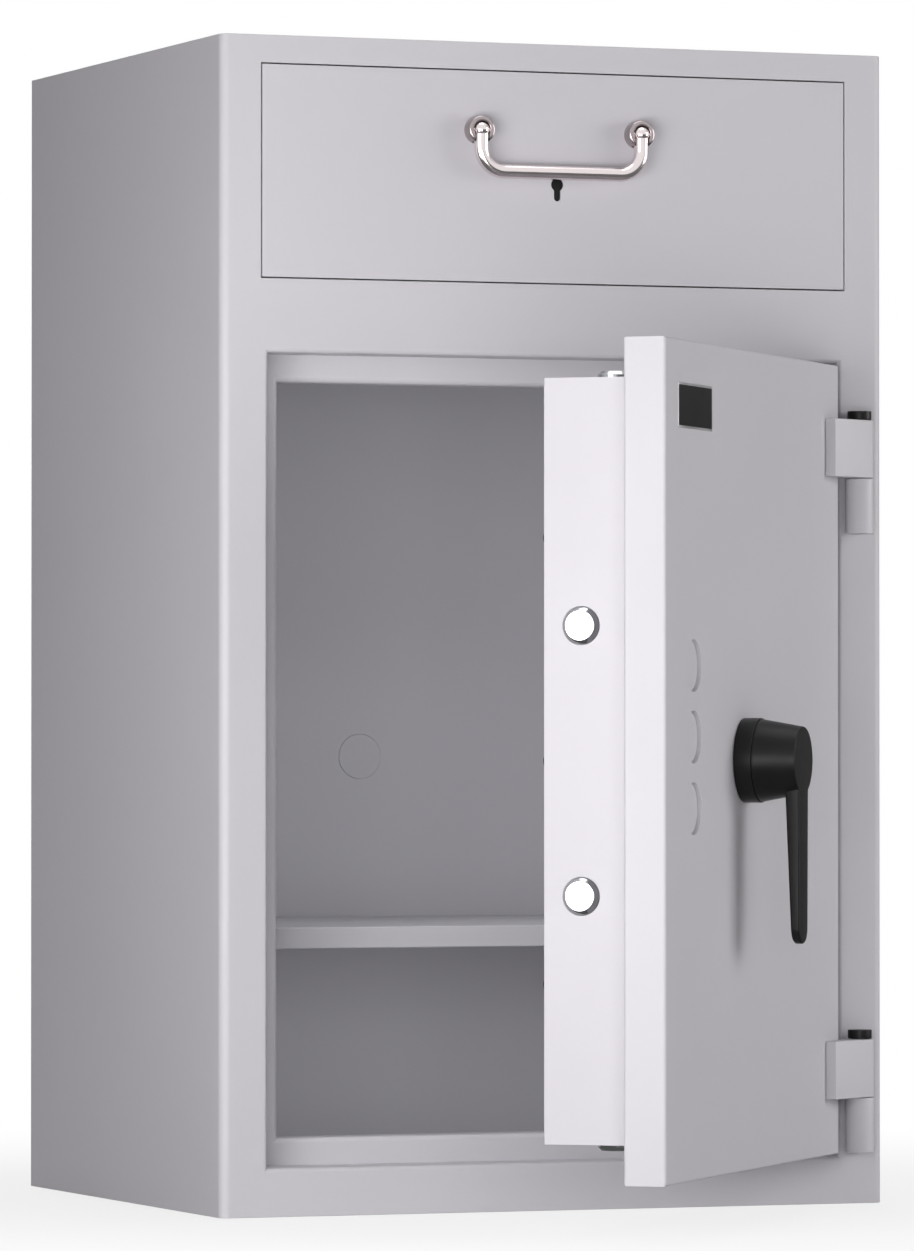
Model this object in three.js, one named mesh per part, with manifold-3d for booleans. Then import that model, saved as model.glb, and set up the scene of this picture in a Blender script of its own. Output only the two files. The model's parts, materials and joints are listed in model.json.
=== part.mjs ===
// A drop safe with a deposit drawer, standing with its door open.
// Millimetres. X runs across the front, Y from the front to the rear, Z up.
// The origin is the middle of the body's underside, and the front face is at minus half the depth.
import * as THREE from "three";
import { mergeVertices } from "three/addons/utils/BufferGeometryUtils.js";
import Module from "manifold-3d";

// Body
const BODY_WIDTH = 600;
const BODY_DEPTH = 500;
const BODY_HEIGHT = 980;
const FRONT_EDGE_RADIUS = 8;
const SIDE_WALL = 28;
const TOP_WALL = 18;
const FLOOR_WALL = 30;
const REAR_WALL = 30;
const FRAME_DEPTH = 36;

// Door opening, set in from the body's sides, and the lip that the bolts reach behind
const OPENING_SIDE_MARGIN = 41.5;
const OPENING_SILL = 40.5;
const OPENING_TOP_BAND = 263.5;
const OPENING_EDGE_RADIUS = 4;
const LIP_SIDE_WIDTH = 21.7;
const LIP_END_WIDTH = 23;
const LIP_DEPTH = 26;
const LIP_EDGE_RADIUS = 5;

// Divider between the drawer space and the safe compartment
const DIVIDER_RISE = 5.5;
const DIVIDER_THICKNESS = 8;
const DROP_SIDE_MARGIN = 64;
const DROP_DEPTH = 112;
const DROP_REAR_MARGIN = 15;

// Shelf, its brackets and the anchor cap in the rear wall
const SHELF_TOP_HEIGHT = 236.5;
const SHELF_FRONT_SETBACK = 120;
const SHELF_LIP_HEIGHT = 18;
const SHELF_SHEET = 2;
const SHELF_PLAY = 1;
const BRACKET_LENGTH = 46;
const BRACKET_LEG = 18;
const BRACKET_SHEET = 3;
const BRACKET_INSET = 30;
const ANCHOR_HEIGHT = 380;
const ANCHOR_CAP_RADIUS = 20;
const ANCHOR_CAP_DEPTH = 4;
const ANCHOR_CAP_PROUD = 0.6;
const ANCHOR_HOLE_RADIUS = 7;

// Door leaf
const DOOR_OPEN_DEGREES = 50.3;
const DOOR_GAP = 3;
const DOOR_THICKNESS = 35;
const DOOR_EDGE_ROUND = 2.5;
const SEAT_GAP = 0.3;

// Round blanks in the three spare lock places
const BLANK_RADIUS = 20.75;
const BLANK_RECESS = 3;
const BLANK_THICKNESS = 5;
const BLANK_FROM_LATCH = 78;
const BLANK_PITCH = 57;
const BLANK_RISE = 19;

// Hinges
const HINGE_OUTSET = 13.8;
const HINGE_STANDOFF = 13.7;
const BARREL_RADIUS = 12;
const PIN_RADIUS = 6;
const PIN_PLAY = 0.3;
const LEAF_HEIGHT = 49;
const LEAF_REACH = 58.8;
const LEAF_END_THICKNESS = 8.9;
const KNUCKLE_HEIGHT = 47;
const KNUCKLE_FOOT_HALF = 7;
const HINGE_SEAM = 0.5;
const LOWER_HINGE_RISE = 47.5;
const UPPER_HINGE_DROP = 96;
const CAP_RADIUS = 10.2;
const CAP_HEIGHT = 7.4;

// Bolt box behind the door, its cover and its screws
const BOX_SIDE_INSET = 32.5;
const BOX_END_INSET = 30;
const BOX_DEPTH = 75.5;
const BOX_WALL = 2.5;
const BOX_FLANGE = 18;
const COVER_INSET = 6;
const COVER_THICKNESS = 2;
const SCREW_PITCH = 178;
const SCREW_INSET = 8;
const SCREW_HEAD_RADIUS = 6;
const SCREW_HEAD_HEIGHT = 2.4;
const SCREW_SHANK_RADIUS = 2.4;
const SCREW_LENGTH = 9;

// Bolts, and where they stand at rest and thrown
const BOLT_RADIUS = 15;
const BOLT_LENGTH = 70;
const BOLT_CHAMFER = 3;
const BOLT_AXIS_DEPTH = 80;
const BOLT_PLAY = 0.5;
const LATCH_BOLT_SPACING = 215.2;
const LATCH_BOLT_REST = 4.5;
const LATCH_BOLT_STROKE = 22.2;
const END_BOLT_REST = 9;
const END_BOLT_STROKE = 15.5;
const END_BOLT_FROM_LATCH = 127;
const BOLT_FLAT_LENGTH = 30;
const GUIDE_THICKNESS = 12;
const GUIDE_MARGIN = 9;

// Cam and bars of the bolt work
const CAM_RADIUS = 26;
const CAM_THICKNESS = 6;
const LATCH_PIN_RADIUS = 4;
const LATCH_PIN_PLAY = 0.9;
const ROD_PIN_RADIUS = 3;
const ROD_PIN_PLAY = 0.7;
const BAR_THICKNESS = 6;
const BAR_WIDTH = 40;
const BAR_END_MARGIN = 24;
const ROD_THICKNESS = 5;
const ROD_WIDTH = 24;
const BAR_LAYER_GAP = 2;

// Lever handle
const HANDLE_FROM_LATCH = 223;
const ROSETTE_RADIUS = 34.5;
const ROSETTE_HEIGHT = 14.5;
const HUB_BASE_RADIUS = 33;
const HUB_FRONT_RADIUS = 27.5;
const HANDLE_PROJECTION = 50;
const HUB_EDGE_ROUND = 2;
const LEVER_LENGTH = 149;
const LEVER_ROOT_WIDTH = 30;
const LEVER_TIP_WIDTH = 26;
const LEVER_ROOT_THICKNESS = 11.5;
const LEVER_TIP_THICKNESS = 7;
const SPINDLE_RADIUS = 6;
const SPINDLE_PLAY = 1;

// Deposit drawer
const DRAWER_SIDE_MARGIN = 35;
const DRAWER_OPENING_HEIGHT = 179;
const DRAWER_TOP_BAND = 23;
const DRAWER_GAP = 1.2;
const DRAWER_FRONT_THICKNESS = 8;
const TRAY_SIDE_SPACE = 22;
const TRAY_TOP_CLEARANCE = 17;
const TRAY_FLOOR_CLEARANCE = 8;
const TRAY_SHEET = 2;
const TRAY_DROP_GAP = 13;
const TRAY_WALL_SETBACK = 48;
const TRAY_FLOOR_FALL = 62;

// Runners on each side of the drawer
const RUNNER_HEIGHT = 40;
const RUNNER_RISE = 20;
const RUNNER_SHEET = 2;
const RUNNER_DEPTH = 16;
const RUNNER_SLOT = 16;
const RUNNER_BAR_WIDTH = 5.5;
const RUNNER_PLAY = 0.5;
const RUNNER_REAR_MARGIN = 30;
const RUNNER_FRONT_SETBACK = 40;

// Baffle behind the tray
const BAFFLE_SHEET = 2;
const BAFFLE_OPEN_DEGREES = 40;
const BAFFLE_FLOOR_PLAY = 4;
const BAFFLE_SIDE_PLAY = 3;
const BAFFLE_BARREL_RADIUS = 5;
const BAFFLE_ROD_RADIUS = 3;
const BAFFLE_ROD_DROP = 9;
const BAFFLE_ROD_INSET = 8;

// Drawer lock
const KEYHOLE_RISE = 84;
const KEYHOLE_HEAD_RADIUS = 5.6;
const KEYHOLE_SLOT_RADIUS = 3;
const KEYHOLE_DROP = 14;
const KEYWAY_DEPTH = 16;
const LOCK_WIDTH = 50;
const LOCK_RISE = 22;
const LOCK_HEIGHT = 80;
const LOCK_DEPTH = 38;
const LOCK_BOLT_WIDTH = 24;
const LOCK_BOLT_THICKNESS = 6;
const LOCK_BOLT_SETBACK = 2;
const LOCK_BOLT_SHOWN = 18;
const LOCK_BOLT_HELD = 30;
const LOCK_BOLT_PLAY = 0.4;

// Hanging drawer handle in two cups
const PULL_RISE = 127.8;
const PULL_SPACING = 145;
const PULL_BAR_RADIUS = 6;
const PULL_DROP = 34.5;
const PULL_BEND_RADIUS = 20;
const CUP_RADIUS = 11.75;
const CUP_DEPTH = 12.5;
const CUP_HOLLOW_RADIUS = 7.4;
const CUP_RIM_ROUND = 2;
const CUP_PIVOT_DEPTH = 9.5;
const CUP_BASE = 2;
const BALL_RADIUS = 6.9;
const CROSS_PIN_RADIUS = 2;

// Fineness of round shapes
const ROUND_FACES = 40;
const SMALL_ROUND_FACES = 24;
const EDGE_STEPS = 4;
const WELD = 1e-4;
const THROUGH = 5;

// Places worked out from the sizes above
const front = -BODY_DEPTH / 2;
const rear = BODY_DEPTH / 2;
const innerHalf = BODY_WIDTH / 2 - SIDE_WALL;
const ceiling = BODY_HEIGHT - TOP_WALL;
const rearFace = rear - REAR_WALL;
const frameBack = front + FRAME_DEPTH;
const lipBack = frameBack + LIP_DEPTH;
const openingHalf = BODY_WIDTH / 2 - OPENING_SIDE_MARGIN;
const openingTop = BODY_HEIGHT - OPENING_TOP_BAND;
const openingMiddle = (OPENING_SILL + openingTop) / 2;
const dividerBottom = openingTop + DIVIDER_RISE;
const dividerTop = dividerBottom + DIVIDER_THICKNESS;
const drawerOpeningTop = BODY_HEIGHT - DRAWER_TOP_BAND;
const drawerOpeningBottom = drawerOpeningTop - DRAWER_OPENING_HEIGHT;
const drawerOpeningHalf = BODY_WIDTH / 2 - DRAWER_SIDE_MARGIN;

const hingeX = openingHalf + HINGE_OUTSET;
const hingeY = front - HINGE_STANDOFF;
const doorLeft = -openingHalf + DOOR_GAP;
const doorRight = openingHalf - DOOR_GAP;
const doorBottom = OPENING_SILL + DOOR_GAP;
const doorTop = openingTop - DOOR_GAP;
const doorBack = front + DOOR_THICKNESS;
const boxLeft = doorLeft + BOX_SIDE_INSET;
const boxRight = doorRight - BOX_SIDE_INSET;
const boxBottom = doorBottom + BOX_END_INSET;
const boxTop = doorTop - BOX_END_INSET;
const boxFront = doorBack + SEAT_GAP;
const boxBack = doorBack + BOX_DEPTH;
const coverFront = boxBack + SEAT_GAP;
const coverBack = coverFront + COVER_THICKNESS;
const boltY = front + BOLT_AXIS_DEPTH;
const handleX = doorLeft + HANDLE_FROM_LATCH;
const handleZ = openingMiddle;
const endBoltX = doorLeft + END_BOLT_FROM_LATCH;

// Layers of the bolt work, from the front: rods, cam, latch bar
const barFront = boltY - BAR_THICKNESS / 2;
const barBack = boltY + BAR_THICKNESS / 2;
const camBack = barFront - BAR_LAYER_GAP;
const camFront = camBack - CAM_THICKNESS;
const rodBack = camFront - BAR_LAYER_GAP;
const rodFront = rodBack - ROD_THICKNESS;

const trayHalf = innerHalf - TRAY_SIDE_SPACE;
const trayTop = ceiling - TRAY_TOP_CLEARANCE;
const trayBottom = drawerOpeningBottom + TRAY_FLOOR_CLEARANCE;
const dropRear = rearFace - DROP_REAR_MARGIN;
const dropFront = dropRear - DROP_DEPTH;
const trayBack = dropFront - TRAY_DROP_GAP;
const trayWall = front + TRAY_WALL_SETBACK;
const baffleY = trayBack - BAFFLE_ROD_INSET;
const baffleZ = trayTop - BAFFLE_ROD_DROP;
const panelBack = front + DRAWER_FRONT_THICKNESS;
const keyholeZ = drawerOpeningBottom + KEYHOLE_RISE;
const lockBottom = drawerOpeningBottom + LOCK_RISE;
const pullPivotY = front - CUP_PIVOT_DEPTH;
const pullPivotZ = drawerOpeningBottom + PULL_RISE;

// Finishes
const paint = new THREE.MeshStandardMaterial({ color: 0xc6c4c9, roughness: 0.55, metalness: 0 });
const innerPaint = new THREE.MeshStandardMaterial({ color: 0xaaa9ad, roughness: 0.6, metalness: 0 });
const chrome = new THREE.MeshStandardMaterial({ color: 0xe8e8ea, roughness: 0.12, metalness: 1 });
const polished = new THREE.MeshStandardMaterial({ color: 0xcfc4c4, roughness: 0.2, metalness: 1 });
const blackPlastic = new THREE.MeshStandardMaterial({ color: 0x1c1c1d, roughness: 0.4, metalness: 0 });
const zinc = new THREE.MeshStandardMaterial({ color: 0xb4b6b8, roughness: 0.4, metalness: 1 });

const wasm = await Module();
wasm.setup();

// A closed geometry as a solid that can be cut and joined
function solid(geometry) {
  const loose = geometry.index ? geometry.toNonIndexed() : geometry;
  const bare = new THREE.BufferGeometry().setAttribute("position", loose.getAttribute("position"));
  const merged = mergeVertices(bare, WELD);
  const vertProperties = merged.getAttribute("position").array;
  const triVerts = new Uint32Array(merged.index.array);
  return new wasm.Manifold(new wasm.Mesh({ numProp: 3, vertProperties, triVerts }));
}

// A solid turned back into a geometry
function shaped(made) {
  const { vertProperties, triVerts } = made.getMesh();
  const geometry = new THREE.BufferGeometry();
  geometry.setAttribute("position", new THREE.BufferAttribute(Float32Array.from(vertProperties), 3));
  geometry.setIndex(new THREE.BufferAttribute(Uint32Array.from(triVerts), 1));
  geometry.computeVertexNormals();
  return geometry;
}

// The first geometry with the others cut out of it
function cut(base, cutters) {
  return shaped(cutters.reduce((made, cutter) => made.subtract(solid(cutter)), solid(base)));
}

// Several geometries joined into one
function join(pieces) {
  return shaped(pieces.slice(1).reduce((made, piece) => made.add(solid(piece)), solid(pieces[0])));
}

function piece(name, geometry, material, group) {
  const mesh = new THREE.Mesh(geometry, material);
  mesh.name = name;
  group.add(mesh);
  return mesh;
}

// A block between two corners
function block([x0, x1], [y0, y1], [z0, z1]) {
  const made = new THREE.BoxGeometry(x1 - x0, y1 - y0, z1 - z0);
  return made.translate((x0 + x1) / 2, (y0 + y1) / 2, (z0 + z1) / 2);
}

function outline(points) {
  return new THREE.Shape(points.map(([a, b]) => new THREE.Vector2(a, b)));
}

function extruded(shape, depth, options = {}) {
  const settings = { depth, bevelEnabled: false, curveSegments: SMALL_ROUND_FACES, ...options };
  return new THREE.ExtrudeGeometry(shape, settings);
}

// Outlines carried along each axis: YZ along X, XZ along Y and XY along Z
function alongX(shape, x0, x1) {
  const turn = new THREE.Matrix4().makeBasis(
    new THREE.Vector3(0, 1, 0),
    new THREE.Vector3(0, 0, 1),
    new THREE.Vector3(1, 0, 0),
  );
  return extruded(shape, x1 - x0).applyMatrix4(turn).translate(x0, 0, 0);
}

function alongY(shape, y0, y1) {
  return extruded(shape, y1 - y0).rotateX(Math.PI / 2).translate(0, y1, 0);
}

function alongZ(shape, z0, z1) {
  return extruded(shape, z1 - z0).translate(0, 0, z0);
}

// Round bars along each axis, from one end to the other
function barX(radius, [x0, x1], y, z, faces = SMALL_ROUND_FACES) {
  const made = new THREE.CylinderGeometry(radius, radius, x1 - x0, faces);
  return made.rotateZ(-Math.PI / 2).translate((x0 + x1) / 2, y, z);
}

function barY(radius, x, [y0, y1], z, faces = SMALL_ROUND_FACES) {
  return new THREE.CylinderGeometry(radius, radius, y1 - y0, faces).translate(x, (y0 + y1) / 2, z);
}

function barZ(radius, x, y, [z0, z1], faces = SMALL_ROUND_FACES) {
  const made = new THREE.CylinderGeometry(radius, radius, z1 - z0, faces);
  return made.rotateX(Math.PI / 2).translate(x, y, (z0 + z1) / 2);
}

// A turned piece: its profile is radius against height, and its height points out of the front face
function turnedForward(profile, x, y, z, faces = ROUND_FACES) {
  const points = profile.map(([radius, height]) => new THREE.Vector2(radius, height));
  return new THREE.LatheGeometry(points, faces).rotateX(Math.PI).translate(x, y, z);
}

// The same, with its height pointing to the rear
function turnedRearward(profile, x, y, z, faces = SMALL_ROUND_FACES) {
  const points = profile.map(([radius, height]) => new THREE.Vector2(radius, height));
  return new THREE.LatheGeometry(points, faces).translate(x, y, z);
}

// A quarter round between two profile points, for the edge of a turned piece
function quarterRound(radius, height, round, steps = EDGE_STEPS) {
  return Array.from({ length: steps + 1 }, (_, i) => {
    const angle = (Math.PI / 2) * (i / steps);
    return [radius - round + round * Math.cos(angle), height - round + round * Math.sin(angle)];
  });
}

// A cutter for a rectangular opening whose front edge is rounded over.
// At a depth d behind the front plane it is wider than the opening by r - sqrt(r^2 - (r - d)^2).
function roundedOpening([x0, x1], [z0, z1], frontPlane, backPlane, round) {
  const rings = [[frontPlane - THROUGH, round]];
  for (let i = 0; i <= EDGE_STEPS; i += 1) {
    const angle = (Math.PI / 2) * (i / EDGE_STEPS);
    rings.push([frontPlane + round - round * Math.cos(angle), round - round * Math.sin(angle)]);
  }
  rings.push([backPlane + THROUGH, 0]);
  const positions = rings.flatMap(([y, grow]) => [
    [x0 - grow, y, z0 - grow],
    [x1 + grow, y, z0 - grow],
    [x1 + grow, y, z1 + grow],
    [x0 - grow, y, z1 + grow],
  ]);
  const faces = [[0, 1, 2], [0, 2, 3]];
  for (let ring = 0; ring < rings.length - 1; ring += 1) {
    for (let side = 0; side < 4; side += 1) {
      const a = ring * 4 + side;
      const b = ring * 4 + ((side + 1) % 4);
      faces.push([a, a + 4, b], [b, a + 4, b + 4]);
    }
  }
  const last = (rings.length - 1) * 4;
  faces.push([last, last + 2, last + 1], [last, last + 3, last + 2]);
  const geometry = new THREE.BufferGeometry();
  geometry.setAttribute("position", new THREE.Float32BufferAttribute(positions.flat(), 3));
  geometry.setIndex(faces.flat());
  return geometry;
}

// Outer casing: two sides, roof and floor in one folded body with rounded front corners
function outerCasing() {
  const half = BODY_WIDTH / 2;
  const plan = new THREE.Shape();
  plan.moveTo(-half, rear);
  plan.lineTo(-half, front + FRONT_EDGE_RADIUS);
  const centreX = half - FRONT_EDGE_RADIUS;
  const centreY = front + FRONT_EDGE_RADIUS;
  plan.absarc(-centreX, centreY, FRONT_EDGE_RADIUS, Math.PI, Math.PI * 1.5);
  plan.lineTo(centreX, front);
  plan.absarc(centreX, centreY, FRONT_EDGE_RADIUS, -Math.PI / 2, 0);
  plan.lineTo(half, rear);
  const settings = { depth: BODY_HEIGHT, bevelEnabled: false, curveSegments: EDGE_STEPS * 2 };
  const outside = new THREE.ExtrudeGeometry(plan, settings);
  const inside = block([-innerHalf, innerHalf], [front - THROUGH, rear + THROUGH], [FLOOR_WALL, ceiling]);
  return cut(outside, [inside]);
}

// Rear wall, with an anchor hole that a round cap covers inside
function rearWall() {
  const wall = block([-innerHalf, innerHalf], [rearFace, rear], [FLOOR_WALL, ceiling]);
  const capSeat = [rearFace - THROUGH, rearFace + ANCHOR_CAP_DEPTH];
  return cut(wall, [
    barY(ANCHOR_CAP_RADIUS + SEAT_GAP, 0, capSeat, ANCHOR_HEIGHT, ROUND_FACES),
    barY(ANCHOR_HOLE_RADIUS, 0, [rearFace - THROUGH, rear + THROUGH], ANCHOR_HEIGHT),
  ]);
}

function anchorCap() {
  const profile = [[0, 0], [ANCHOR_CAP_RADIUS, 0]];
  profile.push(...quarterRound(ANCHOR_CAP_RADIUS, ANCHOR_CAP_DEPTH + ANCHOR_CAP_PROUD, ANCHOR_CAP_PROUD));
  profile.push([0, ANCHOR_CAP_DEPTH + ANCHOR_CAP_PROUD]);
  return turnedForward(profile, 0, rearFace + ANCHOR_CAP_DEPTH, ANCHOR_HEIGHT);
}

// Front frame round the drawer opening and the door opening
function frontFrame() {
  const slab = block([-innerHalf, innerHalf], [front, frameBack], [FLOOR_WALL, ceiling]);
  const doorWay = roundedOpening(
    [-openingHalf, openingHalf],
    [OPENING_SILL, openingTop],
    front,
    frameBack,
    OPENING_EDGE_RADIUS,
  );
  const drawerWay = block(
    [-drawerOpeningHalf, drawerOpeningHalf],
    [front - THROUGH, frameBack + THROUGH],
    [drawerOpeningBottom, drawerOpeningTop],
  );
  return cut(slab, [doorWay, drawerWay]);
}

// Lip that the door closes against, and that the thrown bolts reach behind
function lipFrame() {
  const slab = block([-innerHalf, innerHalf], [frameBack, lipBack], [FLOOR_WALL, dividerBottom]);
  const half = openingHalf - LIP_SIDE_WIDTH;
  const heights = [OPENING_SILL + LIP_END_WIDTH, openingTop - LIP_END_WIDTH];
  return cut(slab, [roundedOpening([-half, half], heights, frameBack, lipBack, LIP_EDGE_RADIUS)]);
}

// Divider under the drawer, with the slot that deposits drop through
function divider() {
  const plate = block([-innerHalf, innerHalf], [frameBack, rearFace], [dividerBottom, dividerTop]);
  const half = innerHalf - DROP_SIDE_MARGIN;
  const slot = block(
    [-half, half],
    [dropFront, dropRear],
    [dividerBottom - THROUGH, dividerTop + THROUGH],
  );
  return cut(plate, [slot]);
}

// Shelf: a sheet with its front and rear edges folded down
function shelf() {
  const half = innerHalf - SHELF_PLAY;
  const shelfFront = front + SHELF_FRONT_SETBACK;
  const shelfRear = rearFace - SHELF_PLAY;
  const under = SHELF_TOP_HEIGHT - SHELF_SHEET;
  const fold = SHELF_TOP_HEIGHT - SHELF_LIP_HEIGHT;
  const section = outline([
    [shelfFront, SHELF_TOP_HEIGHT],
    [shelfFront, fold],
    [shelfFront + SHELF_SHEET, fold],
    [shelfFront + SHELF_SHEET, under],
    [shelfRear - SHELF_SHEET, under],
    [shelfRear - SHELF_SHEET, fold],
    [shelfRear, fold],
    [shelfRear, SHELF_TOP_HEIGHT],
  ]);
  return alongX(section, -half, half);
}

// An angle bracket on a side wall: side is -1 for the left wall and 1 for the right
function shelfBracket(side, fromFront) {
  const seat = SHELF_TOP_HEIGHT - SHELF_SHEET;
  const wall = side * innerHalf;
  const inward = (distance) => wall - side * distance;
  const section = outline([
    [wall, seat],
    [inward(BRACKET_LEG), seat],
    [inward(BRACKET_LEG), seat - BRACKET_SHEET],
    [inward(BRACKET_SHEET), seat - BRACKET_SHEET],
    [inward(BRACKET_SHEET), seat - BRACKET_LEG],
    [wall, seat - BRACKET_LEG],
  ]);
  return alongY(section, fromFront, fromFront + BRACKET_LENGTH);
}

// Door plate, with seats for the three blanks and a hole for the spindle
function doorPlate() {
  const inset = DOOR_EDGE_ROUND;
  const face = outline([
    [doorLeft + inset, doorBottom + inset],
    [doorRight - inset, doorBottom + inset],
    [doorRight - inset, doorTop - inset],
    [doorLeft + inset, doorTop - inset],
  ]);
  const bevel = {
    bevelEnabled: true,
    bevelThickness: DOOR_EDGE_ROUND,
    bevelSize: DOOR_EDGE_ROUND,
    bevelSegments: EDGE_STEPS - 1,
  };
  const slab = extruded(face, DOOR_THICKNESS - 2 * DOOR_EDGE_ROUND, bevel)
    .rotateX(Math.PI / 2)
    .translate(0, doorBack - DOOR_EDGE_ROUND, 0);
  const seatDepth = BLANK_RECESS + BLANK_THICKNESS + SEAT_GAP;
  const seats = blankHeights().map((z) =>
    barY(BLANK_RADIUS + SEAT_GAP, blankX(), [front - THROUGH, front + seatDepth], z, ROUND_FACES),
  );
  const through = [front - THROUGH, doorBack + THROUGH];
  return cut(slab, [...seats, barY(SPINDLE_RADIUS + SEAT_GAP, handleX, through, handleZ)]);
}

function blankX() {
  return doorLeft + BLANK_FROM_LATCH;
}

function blankHeights() {
  const middle = openingMiddle + BLANK_RISE;
  return [middle + BLANK_PITCH, middle, middle - BLANK_PITCH];
}

function lockBlank(z) {
  const y = front + BLANK_RECESS;
  return barY(BLANK_RADIUS, blankX(), [y, y + BLANK_THICKNESS], z, ROUND_FACES);
}

// Hinge leaf on the door: it rises from its free end to run tangent to the barrel
function hingeLeaf(z0) {
  const seat = HINGE_STANDOFF - SEAT_GAP;
  const tip = new THREE.Vector2(-LEAF_REACH, HINGE_STANDOFF - LEAF_END_THICKNESS);
  const tangent = tip.angle() + Math.acos(BARREL_RADIUS / tip.length());
  const plateEdge = -(HINGE_OUTSET + DOOR_GAP);
  const plan = new THREE.Shape();
  plan.moveTo(-LEAF_REACH, seat);
  plan.lineTo(tip.x, tip.y);
  plan.lineTo(BARREL_RADIUS * Math.cos(tangent), BARREL_RADIUS * Math.sin(tangent));
  plan.absarc(0, 0, BARREL_RADIUS, tangent, Math.PI * 2.5);
  plan.lineTo(plateEdge, BARREL_RADIUS);
  plan.lineTo(plateEdge, seat);
  const plate = alongZ(plan, z0, z0 + LEAF_HEIGHT).translate(hingeX, hingeY, 0);
  const through = [z0 - THROUGH, z0 + LEAF_HEIGHT + THROUGH];
  return cut(plate, [barZ(PIN_RADIUS + PIN_PLAY, hingeX, hingeY, through)]);
}

// Knuckle on the body: a barrel with a foot that stands on the front face
function hingeKnuckle(top) {
  const half = KNUCKLE_FOOT_HALF;
  const meets = Math.sqrt(BARREL_RADIUS ** 2 - half ** 2);
  const angle = Math.atan2(meets, half);
  const plan = new THREE.Shape();
  plan.moveTo(half, HINGE_STANDOFF);
  plan.lineTo(half, meets);
  plan.absarc(0, 0, BARREL_RADIUS, angle, Math.PI - angle, true);
  plan.lineTo(-half, HINGE_STANDOFF);
  const knuckle = alongZ(plan, top - KNUCKLE_HEIGHT, top).translate(hingeX, hingeY, 0);
  const bore = [top - KNUCKLE_HEIGHT - THROUGH, top + THROUGH];
  return cut(knuckle, [barZ(PIN_RADIUS + PIN_PLAY, hingeX, hingeY, bore)]);
}

// Sheet box round the bolt work, open to the door plate and flanged for its cover
function boltBox() {
  const shell = block([boxLeft, boxRight], [boxFront, boxBack], [boxBottom, boxTop]);
  const hollow = block(
    [boxLeft + BOX_WALL, boxRight - BOX_WALL],
    [boxFront - THROUGH, boxBack - BOX_WALL],
    [boxBottom + BOX_WALL, boxTop - BOX_WALL],
  );
  const rim = BOX_WALL + BOX_FLANGE;
  const rearWay = block(
    [boxLeft + rim, boxRight - rim],
    [boxBack - BOX_WALL - THROUGH, boxBack + THROUGH],
    [boxBottom + rim, boxTop - rim],
  );
  const radius = BOLT_RADIUS + BOLT_PLAY;
  const wallCut = BOX_WALL + THROUGH;
  const latchHoles = latchBoltHeights().map((z) =>
    barX(radius, [boxLeft - THROUGH, boxLeft + wallCut], boltY, z, ROUND_FACES),
  );
  const endHoles = [[boxTop - wallCut, boxTop + THROUGH], [boxBottom - THROUGH, boxBottom + wallCut]].map(
    (span) => barZ(radius, endBoltX, boltY, span, ROUND_FACES),
  );
  return cut(shell, [hollow, rearWay, ...latchHoles, ...endHoles, ...screwHoles(boxBack - BOX_WALL)]);
}

function latchBoltHeights() {
  return [openingMiddle + LATCH_BOLT_SPACING / 2, openingMiddle - LATCH_BOLT_SPACING / 2];
}

function coverSpan() {
  return {
    x: [boxLeft + COVER_INSET, boxRight - COVER_INSET],
    z: [boxBottom + COVER_INSET, boxTop - COVER_INSET],
  };
}

function boxCover() {
  const { x, z } = coverSpan();
  return cut(block(x, [coverFront, coverBack], z), screwHoles(coverFront));
}

// The cover's screws stand in two columns of three
function screwPlaces() {
  const [left, right] = coverSpan().x;
  return [left + SCREW_INSET, right - SCREW_INSET].flatMap((x) =>
    [SCREW_PITCH, 0, -SCREW_PITCH].map((rise) => [x, openingMiddle + rise]),
  );
}

function screwHoles(from) {
  const span = [from - THROUGH, coverBack + THROUGH];
  const radius = SCREW_SHANK_RADIUS + SEAT_GAP;
  return screwPlaces().map(([x, z]) => barY(radius, x, span, z, SMALL_ROUND_FACES / 2));
}

function coverScrew(x, z) {
  const head = [[SCREW_HEAD_RADIUS, 0]];
  for (let i = 1; i < EDGE_STEPS; i += 1) {
    const angle = (Math.PI / 2) * (i / EDGE_STEPS);
    head.push([SCREW_HEAD_RADIUS * Math.cos(angle), SCREW_HEAD_HEIGHT * Math.sin(angle)]);
  }
  const profile = [[0, -SCREW_LENGTH], [SCREW_SHANK_RADIUS, -SCREW_LENGTH], [SCREW_SHANK_RADIUS, 0]];
  profile.push(...head, [0, SCREW_HEAD_HEIGHT]);
  return turnedRearward(profile, x, coverBack + SEAT_GAP, z, SMALL_ROUND_FACES / 2);
}

// A bolt of a given length lying along +Y from its tail, with a chamfered end
function boltBlank() {
  const profile = [
    [0, 0],
    [BOLT_RADIUS, 0],
    [BOLT_RADIUS, BOLT_LENGTH - BOLT_CHAMFER],
    [BOLT_RADIUS - BOLT_CHAMFER, BOLT_LENGTH],
    [0, BOLT_LENGTH],
  ];
  const points = profile.map(([radius, height]) => new THREE.Vector2(radius, height));
  return new THREE.LatheGeometry(points, ROUND_FACES);
}

const latchTail = boxLeft - LATCH_BOLT_REST + BOLT_LENGTH;
const topTail = boxTop + END_BOLT_REST - BOLT_LENGTH;
const bottomTail = boxBottom - END_BOLT_REST + BOLT_LENGTH;

function latchBolt(z) {
  return boltBlank().rotateZ(Math.PI / 2).translate(latchTail, boltY, z);
}

// A top or bottom bolt, with a flat on its tail for the rod: up is 1 or -1
function endBolt(tail, up) {
  const bolt = boltBlank().rotateX((up * Math.PI) / 2).translate(endBoltX, boltY, tail);
  const flat = [tail - up * THROUGH, tail + up * BOLT_FLAT_LENGTH].sort((a, b) => a - b);
  const half = BOLT_RADIUS + THROUGH;
  const milled = block([endBoltX - half, endBoltX + half], [boltY - half, rodBack + SEAT_GAP], flat);
  return cut(bolt, [milled]);
}

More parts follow.
